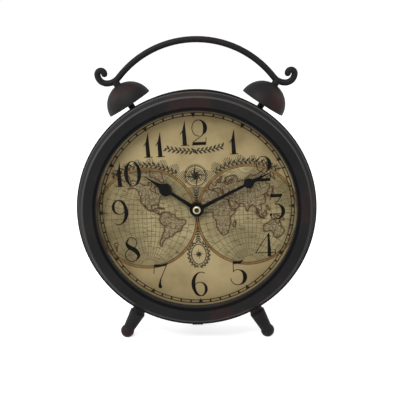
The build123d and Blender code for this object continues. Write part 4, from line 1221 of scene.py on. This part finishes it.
def floor():
    """Pale floor that shows as white and keeps the shadow."""
    bpy.ops.mesh.primitive_circle_add(vertices=FLOOR_STEPS, radius=FLOOR_R, fill_type="NGON")
    ground = bpy.context.object
    ground.name = "floor"
    material, shader = new_material("floor")
    tree = material.node_tree
    tone = ramp(material, noise(material, FLOOR_SCALE), two_tone(FLOOR_TONE, FLOOR_TONE_HIGH))
    tree.links.new(tone, shader.inputs["Base Color"])
    shader.inputs["Roughness"].default_value = FLOOR_ROUGH
    shader.inputs["Specular IOR Level"].default_value = 0.0
    shader.inputs["Emission Color"].default_value = WHITE
    glow = tree.nodes.new("ShaderNodeMath")
    glow.operation = "MULTIPLY"
    glow.inputs[1].default_value = FLOOR_GLOW
    tree.links.new(background_rays(tree), glow.inputs[0])
    tree.links.new(glow.outputs["Value"], shader.inputs["Emission Strength"])
    ground.data.materials.append(material)


# Name of each light, its place and width in metres, and its watts
LIGHTS = (
    ("key", (-0.45, -0.80, 1.25), 0.9, 24.0),
    ("left", (-1.0, 0.10, 0.55), 0.6, 4.5),
    ("right", (1.0, 0.10, 0.55), 0.6, 3.0),
)
CLOCK_MIDDLE = (0.0, 0.0, 0.125)


def soft_light(name, place, width, watts):
    """Round soft light that shines on the middle of the clock."""
    data = bpy.data.lights.new(name, "AREA")
    data.shape = "DISK"
    data.size = width
    data.energy = watts
    lamp = bpy.data.objects.new(name, data)
    lamp.location = place
    lamp.rotation_mode = "QUATERNION"
    lamp.rotation_quaternion = (Vector(CLOCK_MIDDLE) - Vector(place)).to_track_quat("-Z", "Y")
    bpy.context.scene.collection.objects.link(lamp)


SKY_LIGHT = 0.40
SKY_WHITE = 1.0


def sky():
    """Soft light all round, which shows as white."""
    world = bpy.data.worlds.new("studio")
    world.use_nodes = True
    tree = world.node_tree
    tree.nodes.clear()
    strength = tree.nodes.new("ShaderNodeMapRange")
    strength.inputs["To Min"].default_value = SKY_LIGHT
    strength.inputs["To Max"].default_value = SKY_WHITE
    background = tree.nodes.new("ShaderNodeBackground")
    background.inputs["Color"].default_value = WHITE
    output = tree.nodes.new("ShaderNodeOutputWorld")
    tree.links.new(background_rays(tree), strength.inputs["Value"])
    tree.links.new(strength.outputs["Result"], background.inputs["Strength"])
    tree.links.new(background.outputs["Background"], output.inputs["Surface"])
    bpy.context.scene.world = world


def studio():
    floor()
    sky()
    for light in LIGHTS:
        soft_light(*light)


# The camera is set in the frame of the leaning case, from a fit to the photograph
VIEW_DISTANCE = 0.850
VIEW_RISE = math.radians(12.03)
VIEW_SIDE = math.radians(0.16)
VIEW_ROLL = math.radians(0.33)
AIM_RIGHT = 0.0029
AIM_UP = 0.0102
AIM_FORWARD = 0.0115
LENS = 90.0
SENSOR = 36.0


def camera():
    """Camera at the viewing angle of the photograph."""
    outwards = -inwards
    towards = (
        case_right * math.sin(VIEW_SIDE) * math.cos(VIEW_RISE)
        + outwards * math.cos(VIEW_SIDE) * math.cos(VIEW_RISE)
        + case_up * math.sin(VIEW_RISE)
    )
    level = case_right * math.cos(VIEW_SIDE) + inwards * math.sin(VIEW_SIDE)
    upright = towards.cross(level)
    right = level * math.cos(VIEW_ROLL) - upright * math.sin(VIEW_ROLL)
    up = level * math.sin(VIEW_ROLL) + upright * math.cos(VIEW_ROLL)
    aim = dial_centre + case_right * AIM_RIGHT + case_up * AIM_UP + outwards * AIM_FORWARD
    data = bpy.data.cameras.new("camera")
    data.lens = LENS
    data.sensor_width = SENSOR
    eye = bpy.data.objects.new("camera", data)
    turn = Matrix((right, up, towards)).transposed()
    eye.matrix_world = Matrix.Translation(aim + towards * VIEW_DISTANCE) @ turn.to_4x4()
    bpy.context.scene.collection.objects.link(eye)
    bpy.context.scene.camera = eye


dress_nodes()
dress_dial()
studio()
camera()
bpy.context.scene.view_settings.view_transform = "Standard"
